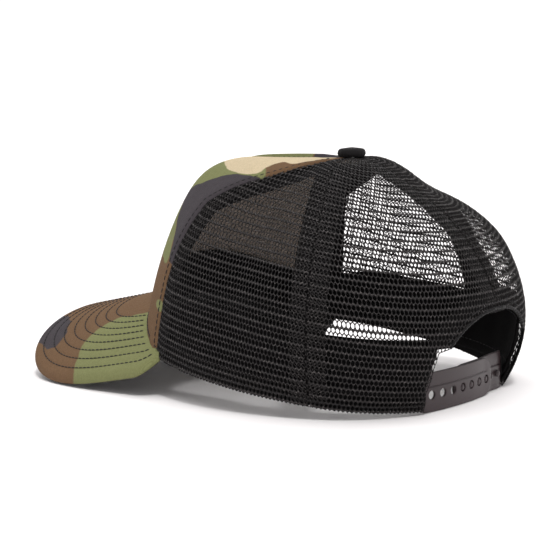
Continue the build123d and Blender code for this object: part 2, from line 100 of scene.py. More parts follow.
# ---- Visor ----
VISOR_HALF_WIDTH = 82.7
VISOR_WIDEST_Y = -62.0
VISOR_HORN_LENGTH = 40.0
VISOR_TIP = 166.8
VISOR_SQUARENESS = 3.6
VISOR_ARCH_RADIUS = 108.0
VISOR_RIDGE_Z = 47.1
VISOR_SLOPE = 0.209
VISOR_THICKNESS = 3.6
STITCH_ROWS, STITCH_FIRST, STITCH_PITCH = 8, 5.0, 5.8
SIDE_INSET = 0.72

# ---- Button and strap ----
BUTTON_RADIUS = 7.2
BUTTON_HEIGHT = 4.6
BUTTON_LIFT = 0.9
STRAP_HEIGHT = 18.5
STRAP_FOOT = 1.0
STRAP_THICKNESS = 1.4
STRAP_LAP_GAP = 0.25
STRAP_ARC_RADIUS = 150.0
STRAP_DEPTH = 0.9
STRAP_PIVOT_X = 36.0
SNAP_COUNT, SNAP_PITCH = 7, 7.9
FIRST_HOLE_X, FIRST_POST_X = 32.0, 8.3
HOLE_RADIUS, POST_RADIUS, POST_HEIGHT = 2.4, 1.8, 1.9
TIP_MARGIN = 4.8

# The button tells how far the CAD was moved to its origin on the table
button_low, button_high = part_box("button_cover")
SHIFT = np.array([
    0.0,
    (button_low.y + button_high.y) / 2.0 - APEX_Y * MM,
    button_low.z - (APEX_Z + BUTTON_LIFT) * MM,
])


def to_row(points):
    """Cap coordinates in mm to the row frame in metres."""
    return np.asarray(points, float) * MM + SHIFT


# ---- Crown tables ----
ANGLE_STEPS = 360
SHARE_STEPS = 240
WALL_STATIONS = 481              # how finely a wall's line is drawn before it is divided evenly
WALL = 165.0                     # a usual length of the wall in mm, to spread shares on the flat


def oval(angle):
    turn = np.radians(angle)
    across, along = np.sin(turn), np.cos(turn)
    reach = (np.abs(across) ** OVAL_POWER + np.abs(along) ** OVAL_POWER) ** (-1.0 / OVAL_POWER)
    return HALF_WIDTH * reach * across, -HALF_LENGTH * reach * along


def edge_height(angle):
    from_front = (np.asarray(angle) + 180.0) % 360.0 - 180.0
    rise = np.maximum(0.0, 1.0 - (from_front / RISE_REACH) ** 2) ** RISE_POWER
    return (HALF_LENGTH - oval(angle)[1]) * math.tan(math.radians(REST_TILT)) + FRONT_RISE * rise


def distance_along(line):
    """The distance from a line's start to each of its points."""
    return np.concatenate([[0.0], np.cumsum(np.linalg.norm(np.diff(line, axis=0), axis=1))])


def eased(share):
    """A share between 0 and 1 that starts and ends gently."""
    return share * share * (3.0 - 2.0 * share)


def make_crown_tables():
    """Points, normals and wall lengths of the crown's outer face, by angle and by share of the wall."""
    angles = np.arange(ANGLE_STEPS + 1) * 360.0 / ANGLE_STEPS
    shares = np.linspace(0.0, 1.0, SHARE_STEPS + 1)
    points = np.zeros((len(angles), len(shares), 3))
    lengths = np.zeros(len(angles))
    for i, angle in enumerate(angles):
        along = math.cos(math.radians(angle))
        front, rear = max(0.0, along) ** WALL_BLEND, max(0.0, -along) ** WALL_BLEND
        side = 1.0 - front - rear
        power, lean, bulge = (
            front * f + side * s + rear * r for f, s, r in zip(FRONT_WALL, SIDE_WALL, REAR_WALL)
        )
        foot_x, foot_y = oval(angle)
        foot_z = float(edge_height(angle))
        sweep = 0.5 * np.pi * np.linspace(0.0, 1.0, WALL_STATIONS) ** (power * 0.75)
        rise = np.sin(sweep) ** (2.0 / power)
        reach = np.maximum(0.0, np.cos(sweep)) ** (2.0 / power)
        reach *= 1.0 + bulge * 4.0 * rise * (1.0 - rise) - lean * rise
        line = np.stack([
            foot_x * reach,
            APEX_Y + (foot_y - APEX_Y) * reach,
            foot_z + (APEX_Z - foot_z) * rise,
        ], axis=1)
        run = distance_along(line)
        lengths[i] = run[-1]
        for k in range(3):
            points[i, :, k] = np.interp(shares * run[-1], run, line[:, k])
    around = np.roll(points[:-1], -1, axis=0) - np.roll(points[:-1], 1, axis=0)
    around = np.concatenate([around, around[:1]])
    up = np.gradient(points, axis=1)
    normals = np.cross(around, up)
    size = np.linalg.norm(normals, axis=2, keepdims=True)
    normals = np.where(size > 1e-9, normals / np.maximum(size, 1e-9), np.array([0.0, 0.0, 1.0]))
    blend = np.clip((shares - 0.96) / 0.04, 0.0, 1.0)[None, :, None]
    normals = normals * (1.0 - blend) + np.array([0.0, 0.0, 1.0]) * blend
    return points, normals, lengths


CROWN, CROWN_NORMALS, WALL_LENGTHS = make_crown_tables()


def look_up(table, angle, share):
    """Bilinear reading of a crown table."""
    a = (np.asarray(angle, float) % 360.0) * ANGLE_STEPS / 360.0
    s = np.clip(np.asarray(share, float), 0.0, 1.0) * SHARE_STEPS
    i = np.minimum(a.astype(int), ANGLE_STEPS - 1)
    j = np.minimum(s.astype(int), SHARE_STEPS - 1)
    fa, fs = (a - i)[..., None], (s - j)[..., None]
    low = table[i, j] * (1 - fs) + table[i, j + 1] * fs
    high = table[i + 1, j] * (1 - fs) + table[i + 1, j + 1] * fs
    return low * (1 - fa) + high * fa


def wall_length(angle):
    return np.interp(np.asarray(angle, float) % 360.0, np.arange(ANGLE_STEPS + 1), WALL_LENGTHS)


# Soft dents and swells of the worn cloth: angle and share of the middle, spread of both, and height in mm
RELIEF = (
    (217.0, 0.725, 22.0, 0.085, -3.3),
    (196.0, 0.74, 16.0, 0.10, -1.6),
    (214.0, 0.49, 22.0, 0.10, 2.5),
    (234.0, 0.90, 18.0, 0.06, 1.0),
    (165.0, 0.50, 16.0, 0.16, 1.2),
    (25.0, 0.51, 18.0, 0.10, 2.1),
    (16.0, 0.62, 20.0, 0.08, 0.9),
    (85.0, 0.45, 12.0, 0.20, -1.2),
    (150.0, 0.32, 11.0, 0.10, -0.9),
    (100.0, 0.20, 10.0, 0.10, 0.8),
    (275.0, 0.42, 14.0, 0.18, -1.3),
    (318.0, 0.55, 16.0, 0.14, -0.8),
)


def relief(angle, share):
    """How far the worn cloth stands out from the crown's even shape, in mm."""
    out = np.zeros(np.broadcast(angle, share).shape)
    for at, height, spread, tall, amount in RELIEF:
        turn = (angle - at + 180.0) % 360.0 - 180.0
        out = out + amount * np.exp(-((turn / spread) ** 2) - ((share - height) / tall) ** 2)
    ripple = 0.35 * np.sin(np.radians(angle) * 9.0 + 7.0 * share) * np.sin(11.0 * share + 1.3)
    return out + ripple * np.clip((0.95 - share) / 0.3, 0.0, 1.0)


def crown_normal(angle, share):
    outward = look_up(CROWN_NORMALS, angle, share)
    return outward / np.linalg.norm(outward, axis=-1, keepdims=True)


def crown(angle, share, depth):
    """Points of the crown in mm, at a depth inward from its outer face."""
    angle, share, depth = np.broadcast_arrays(
        np.asarray(angle, float), np.asarray(share, float), np.asarray(depth, float)
    )
    away = relief(angle, share) - depth
    return look_up(CROWN, angle, share) + crown_normal(angle, share) * away[..., None]


def mm_per_degree(angle, share):
    """How far one degree reaches along the crown."""
    return np.linalg.norm(look_up(CROWN, angle + 1.0, share) - look_up(CROWN, angle, share), axis=-1)


def seam_course(start, course, share):
    """A seam's angle: straight up at first, then swinging to one side."""
    swing, turns_at, power = course
    return start + swing * np.maximum(0.0, (share - turns_at) / (1.0 - turns_at)) ** power


def front_seam(share):
    return seam_course(FRONT_SEAM, FRONT_SEAM_COURSE, share)


def side_seam(share):
    return seam_course(SIDE_SEAM, SIDE_SEAM_COURSE, share)


def centre_back(share):
    return 180.0 + 0.0 * share


# ---- Mesh helpers ----


def shade_smooth(mesh):
    mesh.polygons.foreach_set("use_smooth", [True] * len(mesh.polygons))


def linked(name, data):
    """A new object in the scene."""
    thing = bpy.data.objects.new(name, data)
    bpy.context.scene.collection.objects.link(thing)
    return thing


def new_object(name, points, faces, surface, attributes=None):
    """A mesh object from points in cap mm, with values kept per point."""
    mesh = bpy.data.meshes.new(name)
    mesh.from_pydata(to_row(points).tolist(), [], [list(map(int, f)) for f in faces])
    for key, values in (attributes or {}).items():
        values = np.asarray(values, np.float32)
        kind = "FLOAT" if values.ndim == 1 else "FLOAT_VECTOR"
        layer = mesh.attributes.new(key, kind, "POINT")
        layer.data.foreach_set("value" if kind == "FLOAT" else "vector", values.ravel())
    mesh.validate()
    mesh.materials.append(surface)
    shade_smooth(mesh)
    mesh.update()
    return linked(name, mesh)


def grid_faces(rows, columns, start=0, flip=False):
    """Quads of a grid whose points are stored row by row."""
    i, j = np.meshgrid(np.arange(rows - 1), np.arange(columns - 1), indexing="ij")
    a = (start + i * columns + j).ravel()
    quads = np.stack([a, a + columns, a + columns + 1, a + 1], axis=1)
    return quads[:, ::-1] if flip else quads


def closed_sheet(outer, inner):
    """Points and quads of a closed thin sheet between two grids of the same size."""
    rows, columns = outer.shape[:2]
    count = rows * columns
    points = np.concatenate([outer.reshape(-1, 3), inner.reshape(-1, 3)])
    rim = np.concatenate([
        np.arange(columns),
        np.arange(1, rows) * columns + columns - 1,
        (rows - 1) * columns + np.arange(columns - 2, -1, -1),
        np.arange(rows - 2, 0, -1) * columns,
    ])
    after = np.roll(rim, -1)
    sides = np.stack([rim, after, after + count, rim + count], axis=1)
    faces = np.concatenate([
        grid_faces(rows, columns),
        grid_faces(rows, columns, count, flip=True),
        sides,
    ])
    return points, faces


@contextmanager
def editing(mesh):
    """Opens a mesh for editing and writes it back at the end."""
    work = bmesh.new()
    work.from_mesh(mesh)
    yield work
    work.to_mesh(mesh)
    work.free()


def tidy(thing, distance=0.00002):
    """Joins points that lie together, removes empty faces and turns all faces outward."""
    with editing(thing.data) as work:
        bmesh.ops.remove_doubles(work, verts=work.verts, dist=distance)
        bmesh.ops.dissolve_degenerate(work, edges=work.edges, dist=distance * 0.5)
        bmesh.ops.recalc_face_normals(work, faces=work.faces)
    shade_smooth(thing.data)
    return thing


def sheet_object(name, outer, inner, surface, across, up, fields=None):
    """A closed thin sheet. across and up are its places on the flat cloth, and fields other values."""
    points, faces = closed_sheet(outer, inner)
    flat = np.stack([across, up, 0.0 * up], axis=-1).reshape(-1, 3)
    values = {"cloth": flat, **(fields or {})}
    both = {key: np.concatenate([value, value]) for key, value in values.items()}
    return new_object(name, points, faces, surface, both)


def ringed_faces(rings, around, inward=False):
    """Faces of a round cap: a middle point, rings of points round it, and a flat end."""
    end = [1 + (rings - 1) * around + k for k in range(around)]
    faces = [[0, 1 + k, 1 + (k + 1) % around] for k in range(around)]
    for ring in range(rings - 1):
        for k in range(around):
            a, b = 1 + ring * around + k, 1 + ring * around + (k + 1) % around
            faces.append([a, a + around, b + around, b])
    if inward:
        return [face[:1] + face[:0:-1] for face in faces] + [end]
    return faces + [end[::-1]]


def round_tube(path, radius, sides=6, squash=1.0, normals=None):
    """Points and faces of tubes along many paths at once: path is (tubes, stations, 3)."""
    path = np.asarray(path, float)
    tubes, stations = path.shape[:2]
    along = np.gradient(path, axis=1)
    along /= np.maximum(np.linalg.norm(along, axis=2, keepdims=True), 1e-9)
    if normals is None:
        normals = np.broadcast_to(np.array([0.0, 0.0, 1.0]), path.shape)
    side = np.cross(along, normals)
    side /= np.maximum(np.linalg.norm(side, axis=2, keepdims=True), 1e-9)
    up = np.cross(side, along)
    radius = np.broadcast_to(np.asarray(radius, float), (tubes, stations))
    turn = 2.0 * np.pi * np.arange(sides) / sides
    ring = (
        path[:, :, None]
        + side[:, :, None] * (np.cos(turn)[:, None] * radius[:, :, None, None])
        + up[:, :, None] * (np.sin(turn)[:, None] * radius[:, :, None, None] * squash)
    )
    points = ring.reshape(-1, 3)
    t, s, k = np.meshgrid(np.arange(tubes), np.arange(stations - 1), np.arange(sides), indexing="ij")
    a = (t * stations + s) * sides + k
    b = (t * stations + s) * sides + (k + 1) % sides
    quads = np.stack([a, b, b + sides, a + sides], axis=-1).reshape(-1, 4)
    faces = quads.tolist()
    for tube in range(tubes):
        first = tube * stations * sides
        last = first + (stations - 1) * sides
        faces.append([first + q for q in range(sides - 1, -1, -1)])
        faces.append([last + q for q in range(sides)])
    return points, faces


def along_line(at, run, line):
    """Places on a line at distances along it, given the distance of each of its own points."""
    return np.stack([np.interp(at, run, line[:, k]) for k in range(3)], axis=-1)


def resample(line, step):
    """Places along a polyline at an even step."""
    run = distance_along(line)
    count = max(2, int(round(run[-1] / step)) + 1)
    return along_line(np.linspace(0.0, run[-1], count), run, line)


def stitches(line, normals, length=2.5, gap=0.75, radius=0.24, sink=0.16, seed=1):
    """A row of separate stitches along a line: each is a short thread that dips at both ends."""
    random = np.random.default_rng(seed)
    run = distance_along(line)
    count = int((run[-1] - gap) / (length + gap))
    stations = np.linspace(0.0, 1.0, 7)
    starts = gap * 0.5 + np.arange(count) * (length + gap) + random.normal(0.0, 0.05, count)
    at = starts[:, None] + stations * length
    path, up = along_line(at, run, line), along_line(at, run, normals)
    up /= np.linalg.norm(up, axis=-1, keepdims=True)
    arch = np.sin(np.pi * stations) ** 0.6
    slant = np.cross(np.gradient(path, axis=1), up)
    slant /= np.maximum(np.linalg.norm(slant, axis=-1, keepdims=True), 1e-9)
    wander = random.normal(0.0, 0.05, count)[:, None] * (stations - 0.5)
    path = path + up * ((arch * (sink + radius * 0.55)) - sink)[None, :, None]
    path = path + slant * wander[..., None]
    thick = radius * (0.55 + 0.45 * arch)
    return round_tube(path, np.broadcast_to(thick, path.shape[:2]), normals=up)


def joined(parts):
    """Several (points, faces) as one."""
    points, faces, start = [], [], 0
    for some, these in parts:
        points.append(some)
        faces += [[q + start for q in face] for face in these]
        start += len(some)
    return np.concatenate(points), faces


def thread_object(name, rows):
    points, faces = joined(rows)
    return new_object(name, points, faces, THREAD)


def crown_stitches(angle, share, depth, seed):
    """A row of stitches on the crown's outer face."""
    return stitches(crown(angle, share, depth), crown_normal(angle, share), seed=seed)


# ---- Materials ----


def material(name, roughness=0.7, specular=0.5, sheen=0.0):
    made = bpy.data.materials.new(name)
    made.use_nodes = True
    shader = made.node_tree.nodes["Principled BSDF"]
    shader.inputs["Roughness"].default_value = roughness
    shader.inputs["Specular IOR Level"].default_value = specular
    shader.inputs["Sheen Weight"].default_value = sheen
    shader.inputs["Sheen Roughness"].default_value = 0.5
    return made, made.node_tree, shader


def add(tree, kind, **values):
    node = tree.nodes.new(kind)
    for key, value in values.items():
        if key in node.inputs:
            node.inputs[key].default_value = value
        else:
            setattr(node, key, value)
    return node


def wire(tree, source, output, target, socket):
    tree.links.new(source.outputs[output], target.inputs[socket])


def noise_node(tree, coordinates, scale, detail=3.0, roughness=0.55, distortion=0.0):
    node = add(tree, "ShaderNodeTexNoise", Scale=scale, Detail=detail, Roughness=roughness,
               Distortion=distortion)
    tree.links.new(coordinates, node.inputs["Vector"])
    return node.outputs["Fac"]


def math_node(tree, operation, a, b=None, clamp=False):
    node = add(tree, "ShaderNodeMath", operation=operation, use_clamp=clamp)
    for socket, value in zip(node.inputs, (a, b)):
        if value is None:
            continue
        if isinstance(value, (int, float)):
            socket.default_value = value
        else:
            tree.links.new(value, socket)
    return node.outputs[0]


def plus(tree, a, b, clamp=False):
    return math_node(tree, "ADD", a, b, clamp)


def times(tree, a, b, clamp=False):
    return math_node(tree, "MULTIPLY", a, b, clamp)


def stretched(tree, value, middle, gain, clamp=False):
    """A value's distance from a middle, made larger."""
    return times(tree, math_node(tree, "SUBTRACT", value, middle), gain, clamp)


def attribute_node(tree, key, output="Fac"):
    """Values kept on each mesh."""
    return add(tree, "ShaderNodeAttribute", attribute_name=key).outputs[output]


def mix_colour(tree, share, a, b):
    node = add(tree, "ShaderNodeMix", data_type="RGBA")
    for socket, value in ((node.inputs[0], share), (node.inputs[6], a), (node.inputs[7], b)):
        if isinstance(value, (int, float)):
            socket.default_value = value
        elif isinstance(value, tuple):
            socket.default_value = (*value, 1.0)
        else:
            tree.links.new(value, socket)
    return node.outputs[2]


def bump(tree, shader, height, strength, distance):
    node = add(tree, "ShaderNodeBump", Strength=strength, Distance=distance)
    tree.links.new(height, node.inputs["Height"])
    wire(tree, node, "Normal", shader, "Normal")


def diagonal_weave(tree, coordinates, pitch, slope=2.0):
    """Fine diagonal ribs of a twill, with the crossing threads that break them up."""
    split = add(tree, "ShaderNodeSeparateXYZ")
    tree.links.new(coordinates, split.inputs[0])
    x, y = split.outputs[0], split.outputs[1]
    ribs = plus(tree, times(tree, x, slope), y)
    ribs = math_node(tree, "SINE", times(tree, ribs, 2.0 * math.pi / pitch))
    cross = math_node(tree, "SINE", times(tree, y, 4.0 * math.pi / pitch))
    return plus(tree, ribs, times(tree, cross, 0.35))


def cloth_coordinates(tree):
    """Places on the cloth in mm, kept on each mesh as the attribute cloth."""
    return attribute_node(tree, "cloth", "Vector")


def object_coordinates(tree):
    return add(tree, "ShaderNodeTexCoord").outputs["Object"]


# Camouflage colours, as linear light
BROWN = (0.176, 0.105, 0.058)
DARK_BROWN = (0.126, 0.073, 0.041)
GREEN = (0.222, 0.230, 0.104)
DARK_GREEN = (0.166, 0.176, 0.075)
TAN = (0.650, 0.535, 0.360)
TAN_SHADE = (0.540, 0.438, 0.290)
CHARCOAL = (0.070, 0.062, 0.068)
CHARCOAL_SHADE = (0.048, 0.041, 0.046)


def camo_material():
    made, tree, shader = material("camo_twill", roughness=0.92, specular=0.06, sheen=0.02)
    cloth = cloth_coordinates(tree)
    place = object_coordinates(tree)
    mottle = noise_node(tree, place, 420.0, detail=6.0, roughness=0.75)
    wide = noise_node(tree, place, 28.0, detail=2.0)
    edge = noise_node(tree, place, 420.0, detail=4.0, roughness=0.7)
    waver = stretched(tree, edge, 0.5, 1.6)
    colour = mix_colour(tree, mottle, BROWN, DARK_BROWN)
    for key, bright, dark in (
        ("camo_green", GREEN, DARK_GREEN),
        ("camo_tan", TAN, TAN_SHADE),
        ("camo_dark", CHARCOAL, CHARCOAL_SHADE),
    ):
        field = attribute_node(tree, key)
        inside = plus(tree, field, waver)
        inside = plus(tree, times(tree, inside, 1.6), 0.5, clamp=True)
        patch = mix_colour(tree, mottle, bright, dark)
        colour = mix_colour(tree, inside, colour, patch)
    weave = diagonal_weave(tree, cloth, 0.62)
    lighter = plus(tree, times(tree, weave, 0.09), 1.0)
    lighter = times(tree, lighter,
                        plus(tree, times(tree, wide, 0.22), 0.89))
    specks = noise_node(tree, place, 1300.0, detail=3.0, roughness=0.8)
    lighter = times(tree, lighter,
                        plus(tree, times(tree, specks, 0.60), 0.70))
    scaled = add(tree, "ShaderNodeVectorMath", operation="SCALE")
    tree.links.new(colour, scaled.inputs[0])
    tree.links.new(lighter, scaled.inputs["Scale"])
    tree.links.new(scaled.outputs[0], shader.inputs["Base Color"])
    fuzz = noise_node(tree, place, 2600.0, detail=2.0)
    pucker = noise_node(tree, place, 330.0, detail=3.0)
    height = plus(tree, times(tree, weave, 0.5), fuzz)
    height = plus(tree, height, times(tree, pucker, 3.0))
    bump(tree, shader, height, 0.5, 0.00016)
    return made


def black_cloth(name, colour, shade, pitch, roughness=0.85, sheen=0.02, strength=0.5):
    """Black woven cloth: fine ribs, uneven dye and a little lint."""
    made, tree, shader = material(name, roughness=roughness, specular=0.12, sheen=sheen)
    place = object_coordinates(tree)
    mottle = noise_node(tree, place, 240.0, detail=4.0)
    lint = noise_node(tree, place, 1500.0, detail=3.0, roughness=0.8)
    lint = stretched(tree, lint, 0.66, 6.0, clamp=True)
    base = mix_colour(tree, mottle, colour, shade)
    base = mix_colour(tree, times(tree, lint, 0.3), base, (0.06, 0.058, 0.056))
    tree.links.new(base, shader.inputs["Base Color"])
    weave = diagonal_weave(tree, cloth_coordinates(tree), pitch)
    fuzz = noise_node(tree, place, 2200.0, detail=2.0)
    bump(tree, shader, plus(tree, times(tree, weave, 0.6), fuzz),
         strength, 0.00015)
    return made


def yarn_material(name, colour, shade, roughness=0.40, specular=0.35, twist=0.5, painted_glint=0.1):
    """Smooth polyester yarn: fine filaments, the loops' twist in its bump and roughness, uneven dye, and
    painted glints on the loops.
    """
    made, tree, shader = material(name, roughness=roughness, specular=specular)
    place = object_coordinates(tree)
    mottle = noise_node(tree, place, 90.0, detail=4.0)
    fine = noise_node(tree, place, 2400.0, detail=3.0, roughness=0.7)
    loops = noise_node(tree, place, 1000.0, detail=1.0)
    lit = stretched(tree, loops, 0.55, 8.0, clamp=True)
    base = mix_colour(tree, mottle, colour, shade)
    # painted highlight: a knit's strands are painted lighter along their crests, which each mesh keeps as the
    # attribute crest, with painted glints where the loops noise runs high
    crest = attribute_node(tree, "crest")
    crest = times(tree, crest, crest)
    glint = times(tree, crest, plus(tree, times(tree, lit, 0.65), 0.22))
    base = mix_colour(tree, times(tree, glint, painted_glint), base, (0.190, 0.168, 0.164))
    tree.links.new(base, shader.inputs["Base Color"])
    rough = plus(tree, times(tree, fine, 0.15), roughness + 0.22)
    rough = math_node(tree, "SUBTRACT", rough, times(tree, lit, 0.34))
    tree.links.new(rough, shader.inputs["Roughness"])
    height = plus(tree, times(tree, fine, 0.25), loops)
    bump(tree, shader, height, twist, 0.0006)
    return made


def plastic_material():
    """Moulded black plastic: satin, with a fine grain, faint flow marks and scattered rubbed spots."""
    made, tree, shader = material("strap_plastic", roughness=0.42, specular=0.42)
    place = object_coordinates(tree)
    grain = noise_node(tree, place, 3200.0, detail=2.0)
    flow = noise_node(tree, place, 70.0, detail=3.0, distortion=1.5)
    scuff = noise_node(tree, place, 600.0, detail=5.0, roughness=0.75, distortion=0.8)
    scuff = stretched(tree, scuff, 0.60, 5.0, clamp=True)
    base = mix_colour(tree, flow, (0.034, 0.0215, 0.0240), (0.045, 0.0300, 0.0330))
    base = mix_colour(tree, times(tree, scuff, 0.3), base, (0.075, 0.070, 0.068))
    tree.links.new(base, shader.inputs["Base Color"])
    rough = plus(tree, times(tree, flow, 0.14), 0.26)
    rough = plus(tree, rough, times(tree, scuff, 0.15))
    tree.links.new(rough, shader.inputs["Roughness"])
    bump(tree, shader, grain, 0.25, 0.00008)
    return made


def metal_material():
    made, tree, shader = material("stamped_metal", roughness=0.35, specular=0.5)
    shader.inputs["Metallic"].default_value = 1.0
    place = object_coordinates(tree)
    marks = noise_node(tree, place, 900.0, detail=5.0, distortion=2.0)
    tree.links.new(mix_colour(tree, marks, (0.62, 0.61, 0.59), (0.45, 0.44, 0.42)),
                   shader.inputs["Base Color"])
    tree.links.new(plus(tree, times(tree, marks, 0.3), 0.22),
                   shader.inputs["Roughness"])
    bump(tree, shader, marks, 0.2, 0.00005)
    return made


def board_material():
    made, tree, shader = material("visor_board", roughness=0.5)
    place = object_coordinates(tree)
    grain = noise_node(tree, place, 800.0, detail=3.0)
    tree.links.new(mix_colour(tree, grain, (0.70, 0.70, 0.67), (0.78, 0.78, 0.75)),
                   shader.inputs["Base Color"])
    bump(tree, shader, grain, 0.2, 0.0001)
    return made


def floor_material():
    made, tree, shader = material("studio_paper", roughness=0.9, specular=0.1)
    place = object_coordinates(tree)
    grain = noise_node(tree, place, 60.0, detail=4.0)
    tree.links.new(mix_colour(tree, grain, (0.955, 0.925, 0.925), (0.965, 0.938, 0.938)),
                   shader.inputs["Base Color"])
    return made


CAMO = camo_material()
# the last argument sets how strongly the knit's crests are painted with glints
MESH_YARN = yarn_material("mesh_yarn", (0.0040, 0.0034, 0.0036), (0.0075, 0.0064, 0.0067), roughness=0.33,
                          specular=0.22, twist=0.9, painted_glint=0.8)
TAPE = black_cloth("woven_tape", (0.0060, 0.0052, 0.0055), (0.0100, 0.0090, 0.0092), 0.9)
# the sweatband is black cloth, its colour set darker still as painted shade for the inside of the crown
BAND = black_cloth("band_twill", (0.0022, 0.0018, 0.0019), (0.0040, 0.0034, 0.0036), 0.8, sheen=0.0)
BACKING = black_cloth("buckram", (0.470, 0.400, 0.350), (0.300, 0.250, 0.215), 1.4, strength=0.8)
UNDER_TWILL = black_cloth("under_visor_twill", (0.010, 0.0090, 0.0094), (0.0150, 0.0138, 0.0140), 0.62)
BUTTON_CLOTH = black_cloth("button_cloth", (0.0095, 0.0085, 0.0090), (0.0160, 0.0145, 0.0150), 0.7)
THREAD = yarn_material("black_thread", (0.010, 0.009, 0.010), (0.020, 0.018, 0.019), 0.5, 0.4)
PLASTIC = plastic_material()
METAL = metal_material()
BOARD = board_material()


# ---- Camouflage: outlined patches where the cloth is seen, and noise elsewhere ----
# Crown outlines are (angle, share); visor outlines are (x, y) in mm. Many points of the outlines on the seen
# side are numbers that a separate program worked out from places read off the photo. That is at odds with the
# task, and report.md says so.
CROWN_PATCHES = {
    "camo_green": [
        [(4, .42), (30, .42), (50, .50), (60, .60), (72, .66), (70, .72), (40, .72), (20, .66), (6, .60)],
        [(20, .40), (40, .41), (43, .38), (49, .37), (52.5, .335), (54.5, .29), (53, .27), (42, .25),
         (22, .30)],
        [(52, .14), (57, .133), (57, .166), (53.5, .163)],
        [(-7, .50), (14, .54), (15, .62), (13, .70), (13, .78), (15, .84), (-6, .86), (-16, .72)],
    ],
    "camo_tan": [
        [(19, .56), (23, .56), (40, .60), (60, .65), (67, .695), (60, .75), (59, .785), (73, .795), (77, .83),
         (79, .90), (79, .95), (60, .93), (30, .885), (16, .84), (14, .75), (18, .65)],
        [(-45, .30), (-30, .36), (-26, .47), (-38, .52), (-52, .45), (-58, .34)],
    ],
    "camo_dark": [
        [(24, .43), (34, .45), (41, .50), (45, .56), (49, .60), (53, .625), (64, .66), (72, .69), (72, .58),
         (62, .45), (61, .34), (57, .28), (54.5, .30), (53, .335), (49, .372), (43, .385), (40, .41),
         (26, .41)],
        [(-60, .86), (8, .845), (30, .885), (62, .93), (85, .96), (60, 1.0), (-60, 1.0)],
        [(-12, .16), (8, .14), (20, .22), (12, .31), (-6, .33), (-18, .25)],
    ],
}
VISOR_PATCHES = {
    "camo_green": [
        [(92, -100), (76, -109), (67, -114), (58, -113), (50, -109), (47, -101), (48, -84), (44, -60),
         (60, -18), (96, -10), (98, -80)],
        [(-34, -170), (-20, -150), (-34, -134), (-56, -138), (-66, -152), (-56, -168)],
    ],
    "camo_tan": [[(-44, -122), (-30, -108), (-36, -92), (-58, -96), (-62, -112)]],
    "camo_dark": [
        [(28, -166), (34, -156), (43, -146), (51, -140), (58, -136.5), (63.5, -137.5), (64.5, -142),
         (60.5, -149), (57, -158), (46, -172)],
        [(-72, -106), (-58, -92), (-66, -70), (-90, -66), (-92, -96)],
    ],
}
NOISE_LEVEL = {"camo_green": 0.04, "camo_tan": 0.26, "camo_dark": 0.20}
NOISE_WAVE = 34.0
NOISE_DEPTH = 26.0
QUIET = -12.0                    # what the noise is held at where only the outlines count
BEND_WAVE = 7.0                  # size of the small bends in a patch's edge
CORNER_CUT = 0.22
SEEN_SHARES = (0.0, 0.30, 0.42, 0.50, 0.58, 0.70, 1.0)
SEEN_ANGLES = (44.0, 42.0, 32.0, 25.0, 16.0, 4.0, 4.0)
VISOR_SEEN_FROM = -14.0


def rounded_outline(outline, turns=2):
    """The outline with its corners cut, so that it runs softly."""
    line = np.array(outline, float)
    for _ in range(turns):
        after = np.roll(line, -1, axis=0)
        near, far = line * 0.78 + after * CORNER_CUT, line * CORNER_CUT + after * 0.78
        line = np.stack([near, far], axis=1).reshape(-1, 2)
    return line


def inside_outline(x, y, outline):
    """How far places lie inside a closed outline; negative outside."""
    line = rounded_outline(outline)
    nearest = np.full(x.shape, 1e9)
    inside = np.zeros(x.shape, bool)
    for (ax, ay), (bx, by) in zip(line, np.roll(line, -1, axis=0)):
        reach = max((bx - ax) ** 2 + (by - ay) ** 2, 1e-9)
        part = np.clip(((x - ax) * (bx - ax) + (y - ay) * (by - ay)) / reach, 0.0, 1.0)
        nearest = np.minimum(nearest, np.hypot(x - ax - part * (bx - ax), y - ay - part * (by - ay)))
        if ay != by:
            inside ^= ((ay > y) != (by > y)) & (x < (bx - ax) * (y - ay) / (by - ay) + ax)
    return np.where(inside, nearest, -nearest)


def camo_fields(points, x, y, patches, seen):
    """How far inside each colour's patches every point lies, in mm. Seen is 1 where only outlines count."""
    fields = {}
    for number, key in enumerate(("camo_green", "camo_tan", "camo_dark")):
        shift = Vector((17.3 * number, 5.1, 9.7 * number))
        wild = np.array([noise.noise(Vector(p) / NOISE_WAVE + shift) for p in points])
        bend = np.array([noise.noise(Vector(p) / BEND_WAVE + shift) for p in points])
        field = ((wild - NOISE_LEVEL[key]) * NOISE_DEPTH + bend * 2.5) * (1.0 - seen) + QUIET * seen
        for outline in patches[key]:
            field = np.maximum(field, inside_outline(x, y, outline) + bend * 1.3)
        fields[key] = field
    return fields


def crown_flat(angle, share):
    """Crown places spread on the flat, in mm."""
    return np.asarray(angle, float) * 1.5 * np.clip((1.08 - share) / 0.6, 0.15, 1.0), share * WALL


def crown_camo(points, angle, share):
    patches = {
        key: [np.stack(crown_flat(*np.array(line, float).T), axis=1) for line in lines]
        for key, lines in CROWN_PATCHES.items()
    }
    x, y = crown_flat(angle, share)
    seen = np.clip((angle - np.interp(share, SEEN_SHARES, SEEN_ANGLES)) / 6.0 + 1.0, 0.0, 1.0)
    return camo_fields(points, x, y, patches, seen)


# ---- Crown pieces ----


def seam_dip(angle, share, seams, width=1.6, depth=0.9):
    """How far cloth pulls in towards each seam it is sewn along, in mm."""
    out = np.zeros(np.broadcast(angle, share).shape)
    for seam in seams:
        off = (angle - seam) * np.pi / 180.0 * 80.0 * np.clip(1.05 - share, 0.1, 1.0) ** 0.5
        out = out + depth * np.exp(-((off / width) ** 2))
    return out


DART_LOW, DART_HIGH = 0.50, 0.93
DART_WIDTH, DART_HEIGHT = 1.35, 1.5
DART_THREAD = 2.4                # how far its rows of stitches lie from its middle
FRONT_FLAT = 90.0                # half-width of the front panel on the flat


